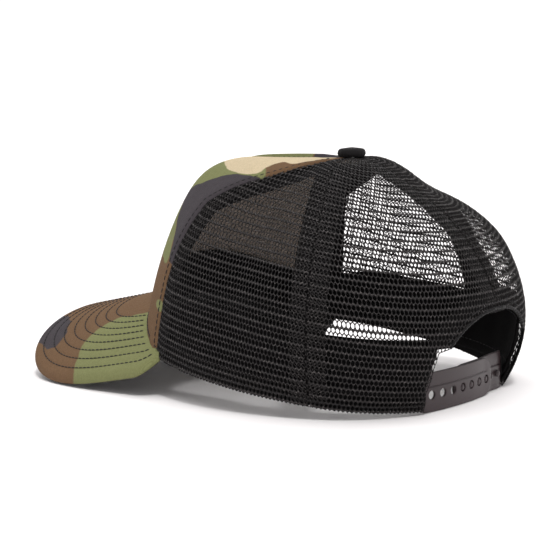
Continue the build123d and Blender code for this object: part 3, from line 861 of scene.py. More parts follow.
def dart(angle, share):
    """The raised, sewn dart along the top of the front panel."""
    rate = np.linalg.norm(look_up(CROWN, np.full_like(share, 1.0), share)
                          - look_up(CROWN, np.full_like(share, -1.0), share), axis=-1) / 2.0
    off = angle * rate
    fade = np.clip((share - DART_LOW) / 0.06, 0.0, 1.0)
    fade = fade * np.clip((DART_HIGH + 0.05 - share) / 0.05, 0.0, 1.0)
    welt = DART_HEIGHT * np.exp(-((off / DART_WIDTH) ** 4))
    groove = -0.35 * np.exp(-(((np.abs(off) - DART_THREAD) / 0.7) ** 2))
    return (welt + groove) * fade * np.clip(rate / 0.25, 0.0, 1.0)


def front_columns():
    """Angles across the front panel as shares of its half-width, closer at the dart and seams."""
    middle = np.array([0.0, .004, .008, .012, .016, .02, .025, .03, .035, .042, .05, .06, .07, .085])
    spread = np.linspace(0.10, 0.94, 48)
    rim = np.array([0.955, 0.97, 0.98, 0.988, 0.994, 1.0])
    half = np.concatenate([middle, spread, rim])
    return np.concatenate([-half[:0:-1], half])


def make_front_panel():
    shares = np.concatenate([[0.0, .002, .005, .009, .014, .02], np.linspace(0.027, PANEL_TOP, 150)])
    across = front_columns()
    share, part = np.meshgrid(shares, across, indexing="ij")
    angle = front_seam(share) * part
    edge = np.maximum(0.0, np.abs(part) - 0.94) / 0.06
    tuck = 0.9 * edge ** 2.5 + 0.9 * np.exp(-((share / 0.008) ** 2))
    puff = 0.35 * np.sin(np.pi * np.clip((1.0 - np.abs(part)) / 0.12, 0.0, 1.0)) * (share < 0.9)
    lift = dart(angle, share) - tuck + puff
    outer = crown(angle, share, -lift)[:, ::-1]
    inner = crown(angle, share, 0.6 - np.minimum(lift, 0.3))[:, ::-1]
    part, share, angle = part[:, ::-1], share[:, ::-1], angle[:, ::-1]
    fields = crown_camo(outer.reshape(-1, 3), angle.ravel(), share.ravel())
    return sheet_object("front_panel_twill", outer, inner, CAMO, part * FRONT_FLAT, share * WALL, fields)


def make_backing():
    shares = np.linspace(0.02, 0.93, 60)
    across = np.linspace(-1.0, 1.0, 61)
    share, part = np.meshgrid(shares, across, indexing="ij")
    angle = (front_seam(share) - 2.0) * part
    ripple = 0.12 * np.sin(part * 60.0) * np.sin(share * 70.0)
    outer = crown(angle, share, BACKING_DEPTHS[0])[:, ::-1]
    inner = crown(angle, share, BACKING_DEPTHS[1] + ripple)[:, ::-1]
    part, share = part[:, ::-1], share[:, ::-1]
    return sheet_object("front_backing_buckram", outer, inner, BACKING, part * FRONT_FLAT, share * WALL)


# ---- Knitted mesh ----
CELL_WIDTH = 2.08
ROW_NEAR, ROW_FAR = 2.45, 3.35     # rows of holes lie in pairs, with a thicker bar between pairs
CELL_POINT = 0.42                  # how far the zigzag between rows swings to each side
HOLE_HALF_WIDTH, HOLE_HALF_HEIGHT = 0.80, 1.17
YARN_HALF = 0.24
HEM_BEND = 0.55
HEM_FOLD = 9.0


def hem_fold(v):
    """Height up the wall and depth inward for a place v on the cloth, which folds in below 0."""
    height = np.where(v >= 0.0, v + HEM_BEND, 0.0)
    depth = np.zeros_like(v)
    bend_length = math.pi * HEM_BEND
    bend = (v < 0.0) & (v > -bend_length)
    turn = -v / HEM_BEND
    height = np.where(bend, HEM_BEND * (1.0 - np.sin(turn)), height)
    depth = np.where(bend, HEM_BEND * (1.0 - np.cos(turn)), depth)
    inside = v <= -bend_length
    height = np.where(inside, HEM_BEND - v - bend_length, height)
    depth = np.where(inside, 2.0 * HEM_BEND, depth)
    return height, depth


def opening_line(z):
    """Half-width of the rear opening at a height."""
    widths, heights = zip(*OPENING_SIDES)
    arch = OPENING_HALF_WIDTH * np.maximum(
        0.0, 1.0 - (np.clip(z, 0.0, OPENING_HEIGHT) / OPENING_HEIGHT) ** OPENING_POWER
    ) ** (1.0 / OPENING_POWER)
    side = np.interp(z, heights, widths)
    step = np.clip((z - heights[-1]) / (OPENING_STEP_HIGH - heights[-1]), 0.0, 1.0)
    return side * (1.0 - eased(step)) + arch * eased(step)


def place_behind(x, z, turns=8):
    """The angle and share at which the rear of the crown passes through x and z."""
    angle = 180.0 - np.degrees(np.arcsin(np.clip(x / HALF_LENGTH, -1.0, 1.0)))
    share = z / 160.0
    for _ in range(turns):
        here = look_up(CROWN, angle, share)
        angle = angle + (here[..., 0] - x) / 1.45
        share = share + (z - here[..., 2]) / 160.0
    return angle, share


def clear_of_opening(angle, height):
    """Moves places that lie in the rear opening onto its edge."""
    share = height / wall_length(angle)
    here = look_up(CROWN, angle, share)
    x, z = here[..., 0], here[..., 2]
    behind = np.abs((angle % 360.0) - 180.0) < 40.0
    low = behind & (z < OPENING_STEP_HIGH) & (np.abs(x) < opening_line(z))
    reach = (np.abs(x) / OPENING_HALF_WIDTH) ** OPENING_POWER
    reach = reach + (np.abs(z) / OPENING_HEIGHT) ** OPENING_POWER
    high = behind & (z >= OPENING_STEP_HIGH) & (reach < 1.0)
    grow = np.maximum(reach, 1e-6) ** (-1.0 / OPENING_POWER)
    side = np.where(x < 0, -1.0, 1.0)
    new_x = np.where(low, side * opening_line(z), np.where(high, x * grow, x))
    new_z = np.where(high, z * grow, z)
    moved = low | high
    if moved.any():
        fresh_angle, fresh_share = place_behind(new_x[moved], new_z[moved])
        angle, height = angle.copy(), height.copy()
        angle[moved] = fresh_angle
        height[moved] = fresh_share * wall_length(fresh_angle)
    return angle, height, moved


class Cloth:
    """Flat places on a panel's cloth, in mm, to angles round the crown."""

    def __init__(self, low_seam, high_seam):
        self.low_seam, self.high_seam = low_seam, high_seam
        self.heights = np.arange(0.0, 176.0, 1.0)
        middle = 0.5 * (float(low_seam(np.array(0.0))) + float(high_seam(np.array(0.0))))
        self.angles = np.arange(middle - 45.0, middle + 45.01, 0.5)
        centre = len(self.angles) // 2
        self.runs = []
        for height in self.heights:
            share = np.minimum(height / wall_length(self.angles), 1.0)
            run = distance_along(look_up(CROWN, self.angles, share))
            self.runs.append(run - run[centre])

    def angle(self, u, height):
        low = np.clip(height.astype(int), 0, len(self.heights) - 2)
        part = np.clip(height - low, 0.0, 1.0)
        out = np.zeros_like(u)
        for k in np.unique(low):
            pick = low == k
            first = np.interp(u[pick], self.runs[k], self.angles)
            second = np.interp(u[pick], self.runs[k + 1], self.angles)
            out[pick] = first * (1.0 - part[pick]) + second * part[pick]
        return out

    def limits(self, height):
        """The panel's two seams, as angles, at a height up the wall."""
        share = height / WALL
        return self.low_seam(share), self.high_seam(share)


def row_places(lowest, highest):
    """Heights of the rows of holes, with the heights of the bars below and above each."""
    rows = []
    y = lowest
    index = 0
    while y < highest:
        below = ROW_FAR if index % 2 == 0 else ROW_NEAR
        above = ROW_NEAR if index % 2 == 0 else ROW_FAR
        rows.append((index, y, y - below / 2.0, y + above / 2.0))
        y += above
        index += 1
    return rows


def lattice(lowest, highest, half_span):
    """Cells of the knit on the flat: edge points and hole points of each, 12 round."""
    edges, holes = [], []
    half = CELL_WIDTH / 2.0
    count = int(half_span / CELL_WIDTH) + 2
    for index, y, low, high in row_places(lowest, highest):
        offset = half * (index % 2)
        centres = np.arange(-count, count + 1) * CELL_WIDTH + offset
        top, top_corner = high + CELL_POINT, high - CELL_POINT
        bottom, bottom_corner = low - CELL_POINT, low + CELL_POINT
        corners = np.array([
            (0.0, top), (half, top_corner), (half, bottom_corner),
            (0.0, bottom), (-half, bottom_corner), (-half, top_corner),
        ])
        ring = []
        for k in range(6):
            ring.append(corners[k])
            ring.append((corners[k] + corners[(k + 1) % 6]) / 2.0)
        ring = np.array(ring)
        turn = np.arctan2((ring[:, 1] - y) / (HOLE_HALF_HEIGHT + 0.3), ring[:, 0] / HOLE_HALF_WIDTH)
        pointed = 1.0 + 0.10 * np.abs(np.sin(turn)) ** 6
        hole = np.stack([
            HOLE_HALF_WIDTH * np.sign(np.cos(turn)) * np.abs(np.cos(turn)) ** 1.15,
            y + HOLE_HALF_HEIGHT * (1.10 if index % 2 == 0 else 0.88) * pointed * np.sin(turn),
        ], axis=1)
        shift = np.stack([centres, np.zeros_like(centres)], axis=1)
        edges.append(ring[None] + shift[:, None])
        holes.append(hole[None] + shift[:, None])
    return np.concatenate(edges), np.concatenate(holes)


def on_cloth(cloth, flat, has_opening):
    """Angle, height, depth, and how far each flat place was pulled in to the panel's edge."""
    height, depth = hem_fold(flat[:, 1])
    angle = cloth.angle(flat[:, 0], height)
    low, high = cloth.limits(height)
    kept = np.clip(angle, low + 0.35, high - 0.35)
    pulled = np.abs(kept - angle)
    outside = np.zeros(len(flat), bool)
    if has_opening:
        kept, height, outside = clear_of_opening(kept, height)
    return kept, height, depth, pulled, outside


def knit_panel(name, low_seam, high_seam, has_opening, mirrored, seed, lowest=-HEM_FOLD,
               span=56.0, under=0.0, highest=PANEL_TOP):
    """One panel of knitted mesh, every strand of it real: rounded yarn round each hole."""
    random = np.random.default_rng(seed)
    cloth = Cloth(low_seam, high_seam)
    edges, holes = lattice(lowest, highest * WALL, span)
    cells, sides = edges.shape[:2]
    flat = edges.reshape(-1, 2)
    keys, where = np.unique(np.round(flat, 3), axis=0, return_inverse=True)
    where = where.reshape(cells, sides)
    keys = keys + random.normal(0.0, 0.065, keys.shape)
    hole_flat = holes.reshape(-1, 2) + random.normal(0.0, 0.04, (cells * sides, 2))

    e_angle, e_height, e_depth, e_pulled, e_out = on_cloth(cloth, keys, has_opening)
    h_angle, h_height, h_depth, h_pulled, h_out = on_cloth(cloth, hole_flat, has_opening)
    # a cell goes when it lies wholly past a seam, past the top or in the opening
    lost = ((h_pulled > 0.02) | h_out).reshape(cells, sides).all(axis=1)
    lost |= (h_height / wall_length(h_angle) > highest).reshape(cells, sides).any(axis=1)
    keep = ~lost

    e_share = e_height / wall_length(e_angle)
    h_share = h_height / wall_length(h_angle)
    low, high = cloth.limits(e_height)
    dip = seam_dip(e_angle, e_share, (low, high), width=2.0, depth=0.5)
    bar = 0.075 * random.normal(0.0, 1.0, len(keys))
    h_low, h_high = cloth.limits(h_height)
    h_dip = seam_dip(h_angle, h_share, (h_low, h_high), width=2.0, depth=0.5)
    side = -1.0 if mirrored else 1.0
    e_depth, h_depth = e_depth + under, h_depth + under
    outer = crown(side * e_angle, e_share, e_depth + dip - bar)
    inner = crown(side * e_angle, e_share, e_depth + dip - bar + 2.0 * YARN_HALF)
    middle = crown(side * h_angle, h_share, h_depth + h_dip + YARN_HALF)
    n = len(keys)
    points = np.concatenate([outer, inner, middle])
    ring = where[keep]
    hole_index = (np.arange(cells * sides).reshape(cells, sides) + 2 * n)[keep]
    ring_after, hole_after = np.roll(ring, -1, axis=1), np.roll(hole_index, -1, axis=1)
    outer_quads = np.stack([ring, ring_after, hole_after, hole_index], axis=-1).reshape(-1, 4)
    inner_quads = np.stack([ring + n, hole_index, hole_after, ring_after + n], axis=-1).reshape(-1, 4)
    faces = np.concatenate([outer_quads, inner_quads])
    used = np.unique(faces)
    renumber = np.zeros(len(points), int)
    renumber[used] = np.arange(len(used))
    points = points[used]
    faces = renumber[faces]
    # walls close the rim, where a cell has no neighbour
    start, after = ring.ravel(), ring_after.ravel()
    keys_of = np.minimum(start, after) * n + np.maximum(start, after)
    _, first, count = np.unique(keys_of, return_index=True, return_counts=True)
    rim = first[count == 1]
    walls = np.stack([start[rim], start[rim] + n, after[rim] + n, after[rim]], axis=1)
    faces = np.concatenate([faces, renumber[walls]])
    if mirrored:
        faces = faces[:, ::-1]
    # crest marks the strands' ridge points, where the yarn's colour is painted with a highlight
    crest = np.concatenate([np.ones(n), np.zeros(n + len(middle))])
    crest[where[:, [3, 9]]] = 0.3
    return new_object(name, points, faces, MESH_YARN, {"crest": crest[used]})


def beside(seam, off):
    """A line that runs beside a seam, off mm towards the rear."""
    shares = np.linspace(0.0, 1.0, 201)
    angles = seam(shares) + off / np.maximum(mm_per_degree(seam(shares), shares), 0.25)
    return lambda share: np.interp(share, shares, angles)


def seam_fold(name, mirrored):
    """The folded, overlocked edge of the mesh cloth behind a front seam."""
    share = np.linspace(0.003, 0.97, 160)
    angle = front_seam(share)
    angle = angle + 0.55 / np.maximum(mm_per_degree(angle, share), 0.12)
    path = resample(crown(-angle if mirrored else angle, share, 0.95), 0.9)
    step = np.arange(len(path))
    wobble = 0.40 * (1.0 + 0.16 * np.sin(step * 2.1) + 0.08 * np.sin(step * 0.73))
    points, faces = round_tube(path[None], wobble[None], sides=8, squash=0.8)
    return new_object(name, points, faces, MESH_YARN)


def strip(name, seam, width, low, high, depth, thickness, mirrored=False, shift=0.0):
    """A woven tape that follows a seam, with soft edges."""
    share = np.linspace(low, high, 110)
    across = np.array([-0.5, -0.485, -0.46, -0.4, -0.2, 0.0, 0.2, 0.4, 0.46, 0.485, 0.5])
    s, part = np.meshgrid(share, across, indexing="ij")
    angle = seam(s)
    angle = angle + (part * width + shift) / np.maximum(mm_per_degree(angle, s), 0.08)
    thin = 1.0 - 0.75 * np.clip((np.abs(part) - 0.46) / 0.04, 0.0, 1.0) ** 2
    wavy = 0.1 * np.sin(s * 95.0 + part * 2.0)
    angle = -angle if mirrored else angle
    outer = crown(angle, s, depth + wavy + thickness * (1.0 - thin) / 2.0)
    inner = crown(angle, s, depth + wavy + thickness - thickness * (1.0 - thin) / 2.0)
    if not mirrored:
        outer, inner = outer[:, ::-1], inner[:, ::-1]
    return sheet_object(name, outer, inner, TAPE, part * width, s * WALL)


def band_end(height):
    """The angle at which cloth inside the hem ends, just short of the rear opening's edge."""
    x = opening_line(np.minimum(height, OPENING_SIDES[-1][1])) - 0.9
    return place_behind(x, height)[0]


def band_foot(angle):
    """How far above the hem the sweatband starts."""
    rear = np.clip((np.abs(angle) - 112.0) / 40.0, 0.0, 1.0)
    return BAND_FOOT + BAND_TAIL_RISE * rear


def band_height(angle):
    """The sweatband is narrower behind the front panel."""
    part = eased(np.clip((np.abs(angle) - 40.0) / 45.0, 0.0, 1.0))
    return SWEATBAND_HEIGHT * (BAND_FRONT_SHARE + (1.0 - BAND_FRONT_SHARE) * part)


def to_band_ends(around, ends):
    """Angles round the head that meet the given ends, one for each line of the band."""
    return around * (BAND_END_ANGLE + (ends - BAND_END_ANGLE)[None, :] * np.abs(around) ** 12)


def length_round(line):
    """Length of a line in mm."""
    return float(np.linalg.norm(np.diff(line, axis=0), axis=1).sum())


def make_hem_tape():
    """A plain tape inside the bottom edge all the way round, from one side of the opening to the other."""
    parts = np.linspace(-1.0, 1.0, 361)
    rows = np.array([0.0, 0.012, 0.04, 0.1, 0.3, 0.5, 0.7, 0.9, 0.96, 0.988, 1.0])
    around, part = np.meshgrid(parts, rows, indexing="ij")
    height = 0.5 + HEM_TAPE_HEIGHT * part
    angle = to_band_ends(around, band_end(height[0]))
    front = eased(np.clip((FRONT_SEAM + 1.0 - np.abs(angle)) / 5.0, 0.0, 1.0))
    height = height - FRONT_TAPE_DROP * front * (1.0 - part)
    share = np.maximum(height, 0.0) / wall_length(angle)
    below = np.stack([0.0 * height, 0.0 * height, np.minimum(height, 0.0)], axis=-1)
    rim = 0.2 * np.clip((np.abs(part - 0.5) - 0.46) / 0.04, 0.0, 1.0) ** 2
    wavy = 0.06 * np.sin(np.radians(angle) * 43.0 + 3.0 * part)
    outer = crown(angle, share, HEM_TAPE_DEPTHS[0] + wavy + rim) + below
    inner = crown(angle, share, HEM_TAPE_DEPTHS[1] + wavy - rim) + below
    tape = sheet_object("hem_tape", outer, inner, TAPE, np.radians(angle) * HEM_TAPE_RADIUS,
                        part * HEM_TAPE_HEIGHT)
    return tape, length_round(outer[:, len(rows) // 2])


def make_sweatband():
    """A folded band of twill inside the bottom edge, sewn on near its lower fold."""
    parts = np.linspace(-1.0, 1.0, 301)
    rows = np.concatenate([[0.0, 0.012, 0.03, 0.06], np.linspace(0.1, 0.9, 22), [0.94, 0.97, 0.988, 1.0]])
    around, part = np.meshgrid(parts, rows, indexing="ij")
    angle = to_band_ends(around, band_end(BAND_FOOT + SWEATBAND_HEIGHT * rows))
    share = (band_foot(angle) + band_height(angle) * part) / wall_length(angle)
    rounded = 1.0 - np.sqrt(np.clip(1.0 - (2.0 * part - 1.0) ** 12, 0.0, 1.0))
    belly = BAND_BELLY * np.sin(np.pi * part) + 0.18 * np.sin(np.radians(angle) * 31.0) * np.sin(np.pi * part)
    row_one, row_two = (
        0.35 * np.exp(-(((part - row) * SWEATBAND_HEIGHT / 0.8) ** 2)) for row in BAND_ROWS
    )
    outer = crown(angle, share, BAND_DEPTHS[0] + 0.5 * rounded)
    inner = crown(angle, share, BAND_DEPTHS[1] + belly - row_one - row_two - 0.9 * rounded)
    band = sheet_object("sweatband_twill", outer, inner, BAND, np.radians(angle) * BAND_RADIUS,
                        part * SWEATBAND_HEIGHT)
    tidy(band)
    middle = angle[:, len(rows) // 2]
    line = crown(middle, (band_foot(middle) + band_height(middle) / 2.0) / wall_length(middle), 3.5)
    return band, length_round(line)


def band_stitching():
    """Two rows of thread that show on the inner face of the sweatband."""
    angle = np.linspace(1.0 - BAND_END_ANGLE, BAND_END_ANGLE - 1.0, 500)
    parts = []
    for seed, part in enumerate(BAND_ROWS):
        share = (band_foot(angle) + band_height(angle) * part) / wall_length(angle)
        line = crown(angle, share, BAND_DEPTHS[1] + BAND_BELLY * math.sin(math.pi * part) - 0.2)
        parts.append(stitches(line, -crown_normal(angle, share), seed=40 + seed))
    return thread_object("sweatband_thread", parts)


def opening_arch(grow, count=220):
    """Places along the bound arch of the opening, from the wearer's left to the right."""
    start = math.asin((OPENING_STEP_HIGH / (OPENING_HEIGHT + grow)) ** (OPENING_POWER / 2.0))
    turn = np.linspace(start, math.pi - start, count)
    side = np.cos(turn)
    x = (OPENING_HALF_WIDTH + grow) * np.sign(side) * np.abs(side) ** (2.0 / OPENING_POWER)
    z = (OPENING_HEIGHT + grow) * np.sin(turn) ** (2.0 / OPENING_POWER)
    return x, z


BINDING_GROWS = (0.0, 0.15, 0.6, 3.0, 6.0, 9.4, 10.0, 10.3)


def make_binding():
    """The tape inside the arch of the opening."""
    x, z = np.stack([opening_arch(grow) for grow in BINDING_GROWS], axis=-1)
    angle, share = place_behind(x, z)
    edge = np.array([0.3, 0.12, 0.0, 0.0, 0.0, 0.0, 0.1, 0.25])[None, :]
    outer = crown(angle, share, BINDING_DEPTHS[0] + edge)
    inner = crown(angle, share, BINDING_DEPTHS[1] - edge)
    run = np.arange(x.shape[0])[:, None] * 0.5 + 0.0 * x
    grow = np.array(BINDING_GROWS)[None, :] + 0.0 * x
    return sheet_object("opening_binding_tape", outer, inner, TAPE, grow, run)


def opening_edge():
    """The folded edge of the mesh round the opening, and its row of stitches."""
    angle, share = place_behind(*opening_arch(0.35))
    path = resample(crown(angle, share, 0.6), 0.9)
    wobble = 0.85 * (1.0 + 0.18 * np.sin(np.arange(len(path)) * 2.3))
    points, faces = round_tube(path[None], wobble[None], sides=8)
    edge = new_object("opening_edge_fold", points, faces, MESH_YARN)
    angle, share = place_behind(*opening_arch(3.2))
    return edge, thread_object("opening_thread", [crown_stitches(angle, share, 0.0, 61)])


def hem_thread():
    angle = np.linspace(-BAND_END_ANGLE, BAND_END_ANGLE, 700)
    share = HEM_STITCH_HEIGHT / wall_length(angle)
    return thread_object("hem_thread", [crown_stitches(angle, share, 0.05, 3)])


SEAM_THREAD = 2.4                # how far the stitches lie from the front seam


def seam_threads():
    """Stitches on the front panel beside each front seam."""
    parts = []
    for seed, side in enumerate((-1.0, 1.0)):
        share = np.linspace(0.03, 0.93, 300)
        angle = front_seam(share)
        angle = (angle - SEAM_THREAD / mm_per_degree(angle, share)) * side
        parts.append(crown_stitches(angle, share, -0.1, 10 + seed))
    return thread_object("front_seam_thread", parts)


def dart_threads():
    parts = []
    for seed, off in enumerate((-DART_THREAD, DART_THREAD)):
        share = np.linspace(DART_LOW + 0.03, 0.9, 160)
        angle = off / np.maximum(mm_per_degree(share * 0.0, share), 0.2)
        parts.append(crown_stitches(angle, share, 0.25, 20 + seed))
    return thread_object("dart_thread", parts)


# ---- Visor ----


def visor_outline(inset):
    """One line round the visor, parallel to its outer edge, from the right horn to the left."""
    half = VISOR_HALF_WIDTH - SIDE_INSET * inset
    depth = VISOR_TIP + VISOR_WIDEST_Y - inset
    turn = np.linspace(0.0, np.pi, 181)
    side = np.cos(turn)
    x = half * np.sign(side) * np.abs(side) ** (2.0 / VISOR_SQUARENESS)
    y = VISOR_WIDEST_Y - depth * np.sin(turn) ** (2.0 / VISOR_SQUARENESS)
    swing = np.linspace(0.0, 0.5 * np.pi, 41)[:0:-1]
    horn_x = half * np.cos(swing)
    horn_y = VISOR_WIDEST_Y + VISOR_HORN_LENGTH * np.sin(swing)
    x = np.concatenate([horn_x, x, -horn_x[::-1]])
    y = np.concatenate([horn_y, y, horn_y[::-1]])
    run = np.concatenate([[0.0], np.cumsum(np.hypot(np.diff(x), np.diff(y)))])
    at = np.linspace(0.0, run[-1], 281)
    return np.interp(at, run, x), np.interp(at, run, y)


def visor_height(x, y):
    drop = VISOR_ARCH_RADIUS - np.sqrt(VISOR_ARCH_RADIUS ** 2 - x ** 2)
    return VISOR_RIDGE_Z + VISOR_SLOPE * (y + HALF_LENGTH) - drop


def visor_point(x, y, depth):
    """A point straight below a place on the visor's top face, so that layers are depth thick."""
    lean = x / np.sqrt(VISOR_ARCH_RADIUS ** 2 - x ** 2)
    normal = np.stack([lean, np.full_like(x, -VISOR_SLOPE), np.ones_like(x)], axis=-1)
    size = np.linalg.norm(normal, axis=-1)
    z = visor_height(x, y) - np.asarray(depth) * size
    return np.stack([x, y, z], axis=-1), normal / size[..., None]


def out_of_crown(x, y, gap):
    """Moves places inside the crown's oval out to the visor's inner edge."""
    a, b = HALF_WIDTH + gap, HALF_LENGTH + gap
    reach = (np.abs(x) / a) ** OVAL_POWER + (np.abs(y) / b) ** OVAL_POWER
    inside = reach < 1.0
    grow = np.where(inside, np.maximum(reach, 1e-6) ** (-1.0 / OVAL_POWER), 1.0)
    return x * grow, y * grow, inside


ROW_INSETS = [STITCH_FIRST + STITCH_PITCH * row for row in range(STITCH_ROWS)]


def channels(inset):
    """Shallow channels that the rows of stitching pull into the cloth."""
    out = 0.0 * inset
    for row in ROW_INSETS:
        out = out + 0.36 * np.exp(-(((inset - row) / 0.8) ** 2))
    return out


RIM_REACH = 1.7                  # how far in from the edge the rim's rounding goes
RIM_TURNS = (140.0, 126.0, 112.0, 98.0, 84.0, 70.0, 56.0, 42.0, 28.0, 14.0)
UNDER_TURNS = (34.0, 26.0, 16.0, 7.0)
COVER_THICKNESS = 0.62
THREAD_DEPTH = 0.22              # how deep the rows of stitches lie in their channels


def cover_rows(turns, cloth_depth):
    """Inset and depth of each line round a cover: the rounded rim first, then the flat part."""
    turn = np.radians(np.array(turns))
    radius = VISOR_THICKNESS / 2.0
    rim_inset = RIM_REACH - (RIM_REACH - cloth_depth) * np.sin(turn)
    rim_depth = radius - (radius - cloth_depth) * np.cos(turn)
    flat = np.concatenate([[RIM_REACH, 2.2], np.arange(2.8, 76.0, 0.8)])
    inset = np.concatenate([rim_inset, flat])
    return inset, np.concatenate([rim_depth, np.full(len(flat), cloth_depth)])


def closed_after_cut(faces, gone, count):
    """Drops the faces whose points are all gone, and walls up the cut between outer and inner."""
    faces = faces[~gone[faces].all(axis=1)]
    start, after = faces.ravel(), np.roll(faces, -1, axis=1).ravel()
    key = np.minimum(start, after) * (2 * count) + np.maximum(start, after)
    _, first, used = np.unique(key, return_index=True, return_counts=True)
    edge = first[used == 1]
    edge = edge[(start[edge] < count) & (after[edge] < count)]
    walls = np.stack([after[edge], start[edge], start[edge] + count, after[edge] + count], axis=1)
    return np.concatenate([faces, walls])


def make_visor_cover(name, top):
    """One cloth of the visor: the top one wraps the rim, and the lower one ends inside it."""
    turns = RIM_TURNS if top else UNDER_TURNS
    sides = []
    for cloth_depth in (0.0, COVER_THICKNESS):
        insets, depth = cover_rows(turns, cloth_depth)
        x, y = np.stack([visor_outline(inset) for inset in insets], axis=-1)
        x, y, inside = out_of_crown(x, y, -0.6)
        soft = 0.06 * np.sin(x / 7.0 + y / 11.0) * np.clip(insets / 4.0, 0.0, 1.0)
        depth = depth + channels(insets) + soft
        point, _ = visor_point(x, y, depth if top else VISOR_THICKNESS - depth)
        sides.append((point, x, y, inside))
    (outer, x, y, inside), (inner, _, _, inside_too) = sides
    points, faces = closed_sheet(outer, inner)
    both = (inside & inside_too).ravel()
    faces = closed_after_cut(faces, np.concatenate([both, both]), len(both))
    flat = np.stack([x, y, 0.0 * x], axis=-1).reshape(-1, 3)
    attributes = {"cloth": np.concatenate([flat, flat])}
    if top:
        sight = np.stack([x, y, visor_height(x, y)], axis=-1).reshape(-1, 3)
        seen = np.clip((x.ravel() - VISOR_SEEN_FROM) / 8.0 + 1.0, 0.0, 1.0)
        fields = camo_fields(sight, x.ravel(), y.ravel(), VISOR_PATCHES, seen)
        attributes.update({key: np.concatenate([f, f]) for key, f in fields.items()})
    cover = new_object(name, points, faces, CAMO if top else UNDER_TWILL, attributes)
    return tidy(cover, 0.000004)


def visor_threads(top):
    parts = []
    for row, inset in enumerate(ROW_INSETS):
        x, y = visor_outline(inset)
        off = ~out_of_crown(x, y, 1.2)[2]
        first, last = np.argmax(off), len(off) - np.argmax(off[::-1])
        x, y = x[first:last], y[first:last]
        depth = THREAD_DEPTH if top else VISOR_THICKNESS - THREAD_DEPTH
        line, normal = visor_point(x, y, np.full_like(x, depth))
        parts.append(stitches(line, normal if top else -normal, length=2.55, gap=0.65, radius=0.31,
                              seed=80 + row))
    return thread_object("visor_thread" if top else "visor_under_thread", parts)


def brim_seam_thread():
    """Stitches on the crown just above the visor."""
    angle = np.linspace(-FRONT_SEAM + 4.0, FRONT_SEAM - 4.0, 400)
    share = BRIM_STITCH_HEIGHT / wall_length(angle)
    return thread_object("brim_seam_thread", [crown_stitches(angle, share, -0.12, 33)])


# ---- Button ----


def make_button():
    """A cloth-covered button: a low dome with a rolled rim and small gathers underneath."""
    rings = 34
    around = 144
    sweep = np.linspace(0.0, 1.0, rings)
    profile = []
    for t in sweep:
        if t < 0.55:
            a = t / 0.55
            radius = BUTTON_RADIUS * 0.90 * math.sin(a * math.pi / 2.0) ** 0.9
            height = BUTTON_HEIGHT - 0.95 * a ** 2.2 + 0.32 * math.exp(-((radius / 2.6) ** 2))
        elif t < 0.85:
            a = (t - 0.55) / 0.30 * math.pi / 2.0
            radius = BUTTON_RADIUS * 0.90 + BUTTON_RADIUS * 0.10 * math.sin(a)
            height = BUTTON_HEIGHT - 0.95 - 2.1 * (1.0 - math.cos(a))
        else:
            a = (t - 0.85) / 0.15
            radius = BUTTON_RADIUS * (1.0 - 0.16 * a)
            height = BUTTON_HEIGHT - 3.05 - 1.55 * math.sin(a * math.pi / 2.0)
        profile.append((radius, height))
    profile = np.array(profile)
    turn = 2.0 * np.pi * np.arange(around) / around
    ring_radius = profile[1:, 0][:, None]
    depth = np.clip((sweep[1:, None] - 0.5) / 0.5, 0.0, 1.0)
    gather = 0.13 * depth ** 2 * np.sin(turn[None, :] * 18.0 + np.sin(turn[None, :] * 5.0))
    ring_radius = ring_radius + gather
    x = ring_radius * np.cos(turn)
    y = ring_radius * np.sin(turn)
    z = np.broadcast_to(profile[1:, 1][:, None], x.shape) + 0.06 * depth * np.sin(turn * 3.0)
    points = np.concatenate([[[0.0, 0.0, profile[0, 1]]], np.stack([x, y, z], axis=-1).reshape(-1, 3)])
    moved = points + np.array([0.0, APEX_Y, APEX_Z + BUTTON_LIFT - 0.8])
    return new_object("button_cloth_cover", moved, ringed_faces(rings - 1, around), BUTTON_CLOTH,
                      {"cloth": points})


# ---- Snap strap ----


def outer_strap_y(x):
    reach = (1.0 - (STRAP_PIVOT_X / HALF_WIDTH) ** OVAL_POWER) ** (1.0 / OVAL_POWER)
    return HALF_LENGTH * reach - STRAP_DEPTH + (STRAP_PIVOT_X ** 2 - x ** 2) / (2.0 * STRAP_ARC_RADIUS)


def inner_strap_y(x):
    past = eased(np.clip((x + STRAP_PIVOT_X) / 12.0, 0.0, 1.0))
    return outer_strap_y(x) - past * (STRAP_THICKNESS + STRAP_LAP_GAP)


def plate(outline, holes, thickness, bevel):
    """A flat moulded plate with rounded edges and round holes: a filled curve made into a mesh."""
    curve = bpy.data.curves.new("plate", "CURVE")
    curve.dimensions = "2D"
    curve.fill_mode = "BOTH"
    curve.extrude = thickness / 2.0 - bevel
    curve.bevel_depth = bevel
    curve.bevel_resolution = 2
    for line in [outline] + holes:
        spline = curve.splines.new("POLY")
        spline.points.add(len(line) - 1)
        for point, (px, pz) in zip(spline.points, line):
            point.co = (px, pz, 0.0, 1.0)
        spline.use_cyclic_u = True
    thing = linked("plate", curve)
    mesh = bpy.data.meshes.new_from_object(thing)
    bpy.data.objects.remove(thing)
    return mesh


def cut_through(work, place, normal):
    parts = work.verts[:] + work.edges[:] + work.faces[:]
    bmesh.ops.bisect_plane(work, geom=parts, plane_co=place, plane_no=normal, dist=0.0005)


def cut_lengthwise(mesh, heights):
    """Cuts a flat mesh along at the given heights, so that it can be shaped."""
    with editing(mesh) as work:
        for y in heights:
            cut_through(work, (0, y, 0), (0, 1, 0))


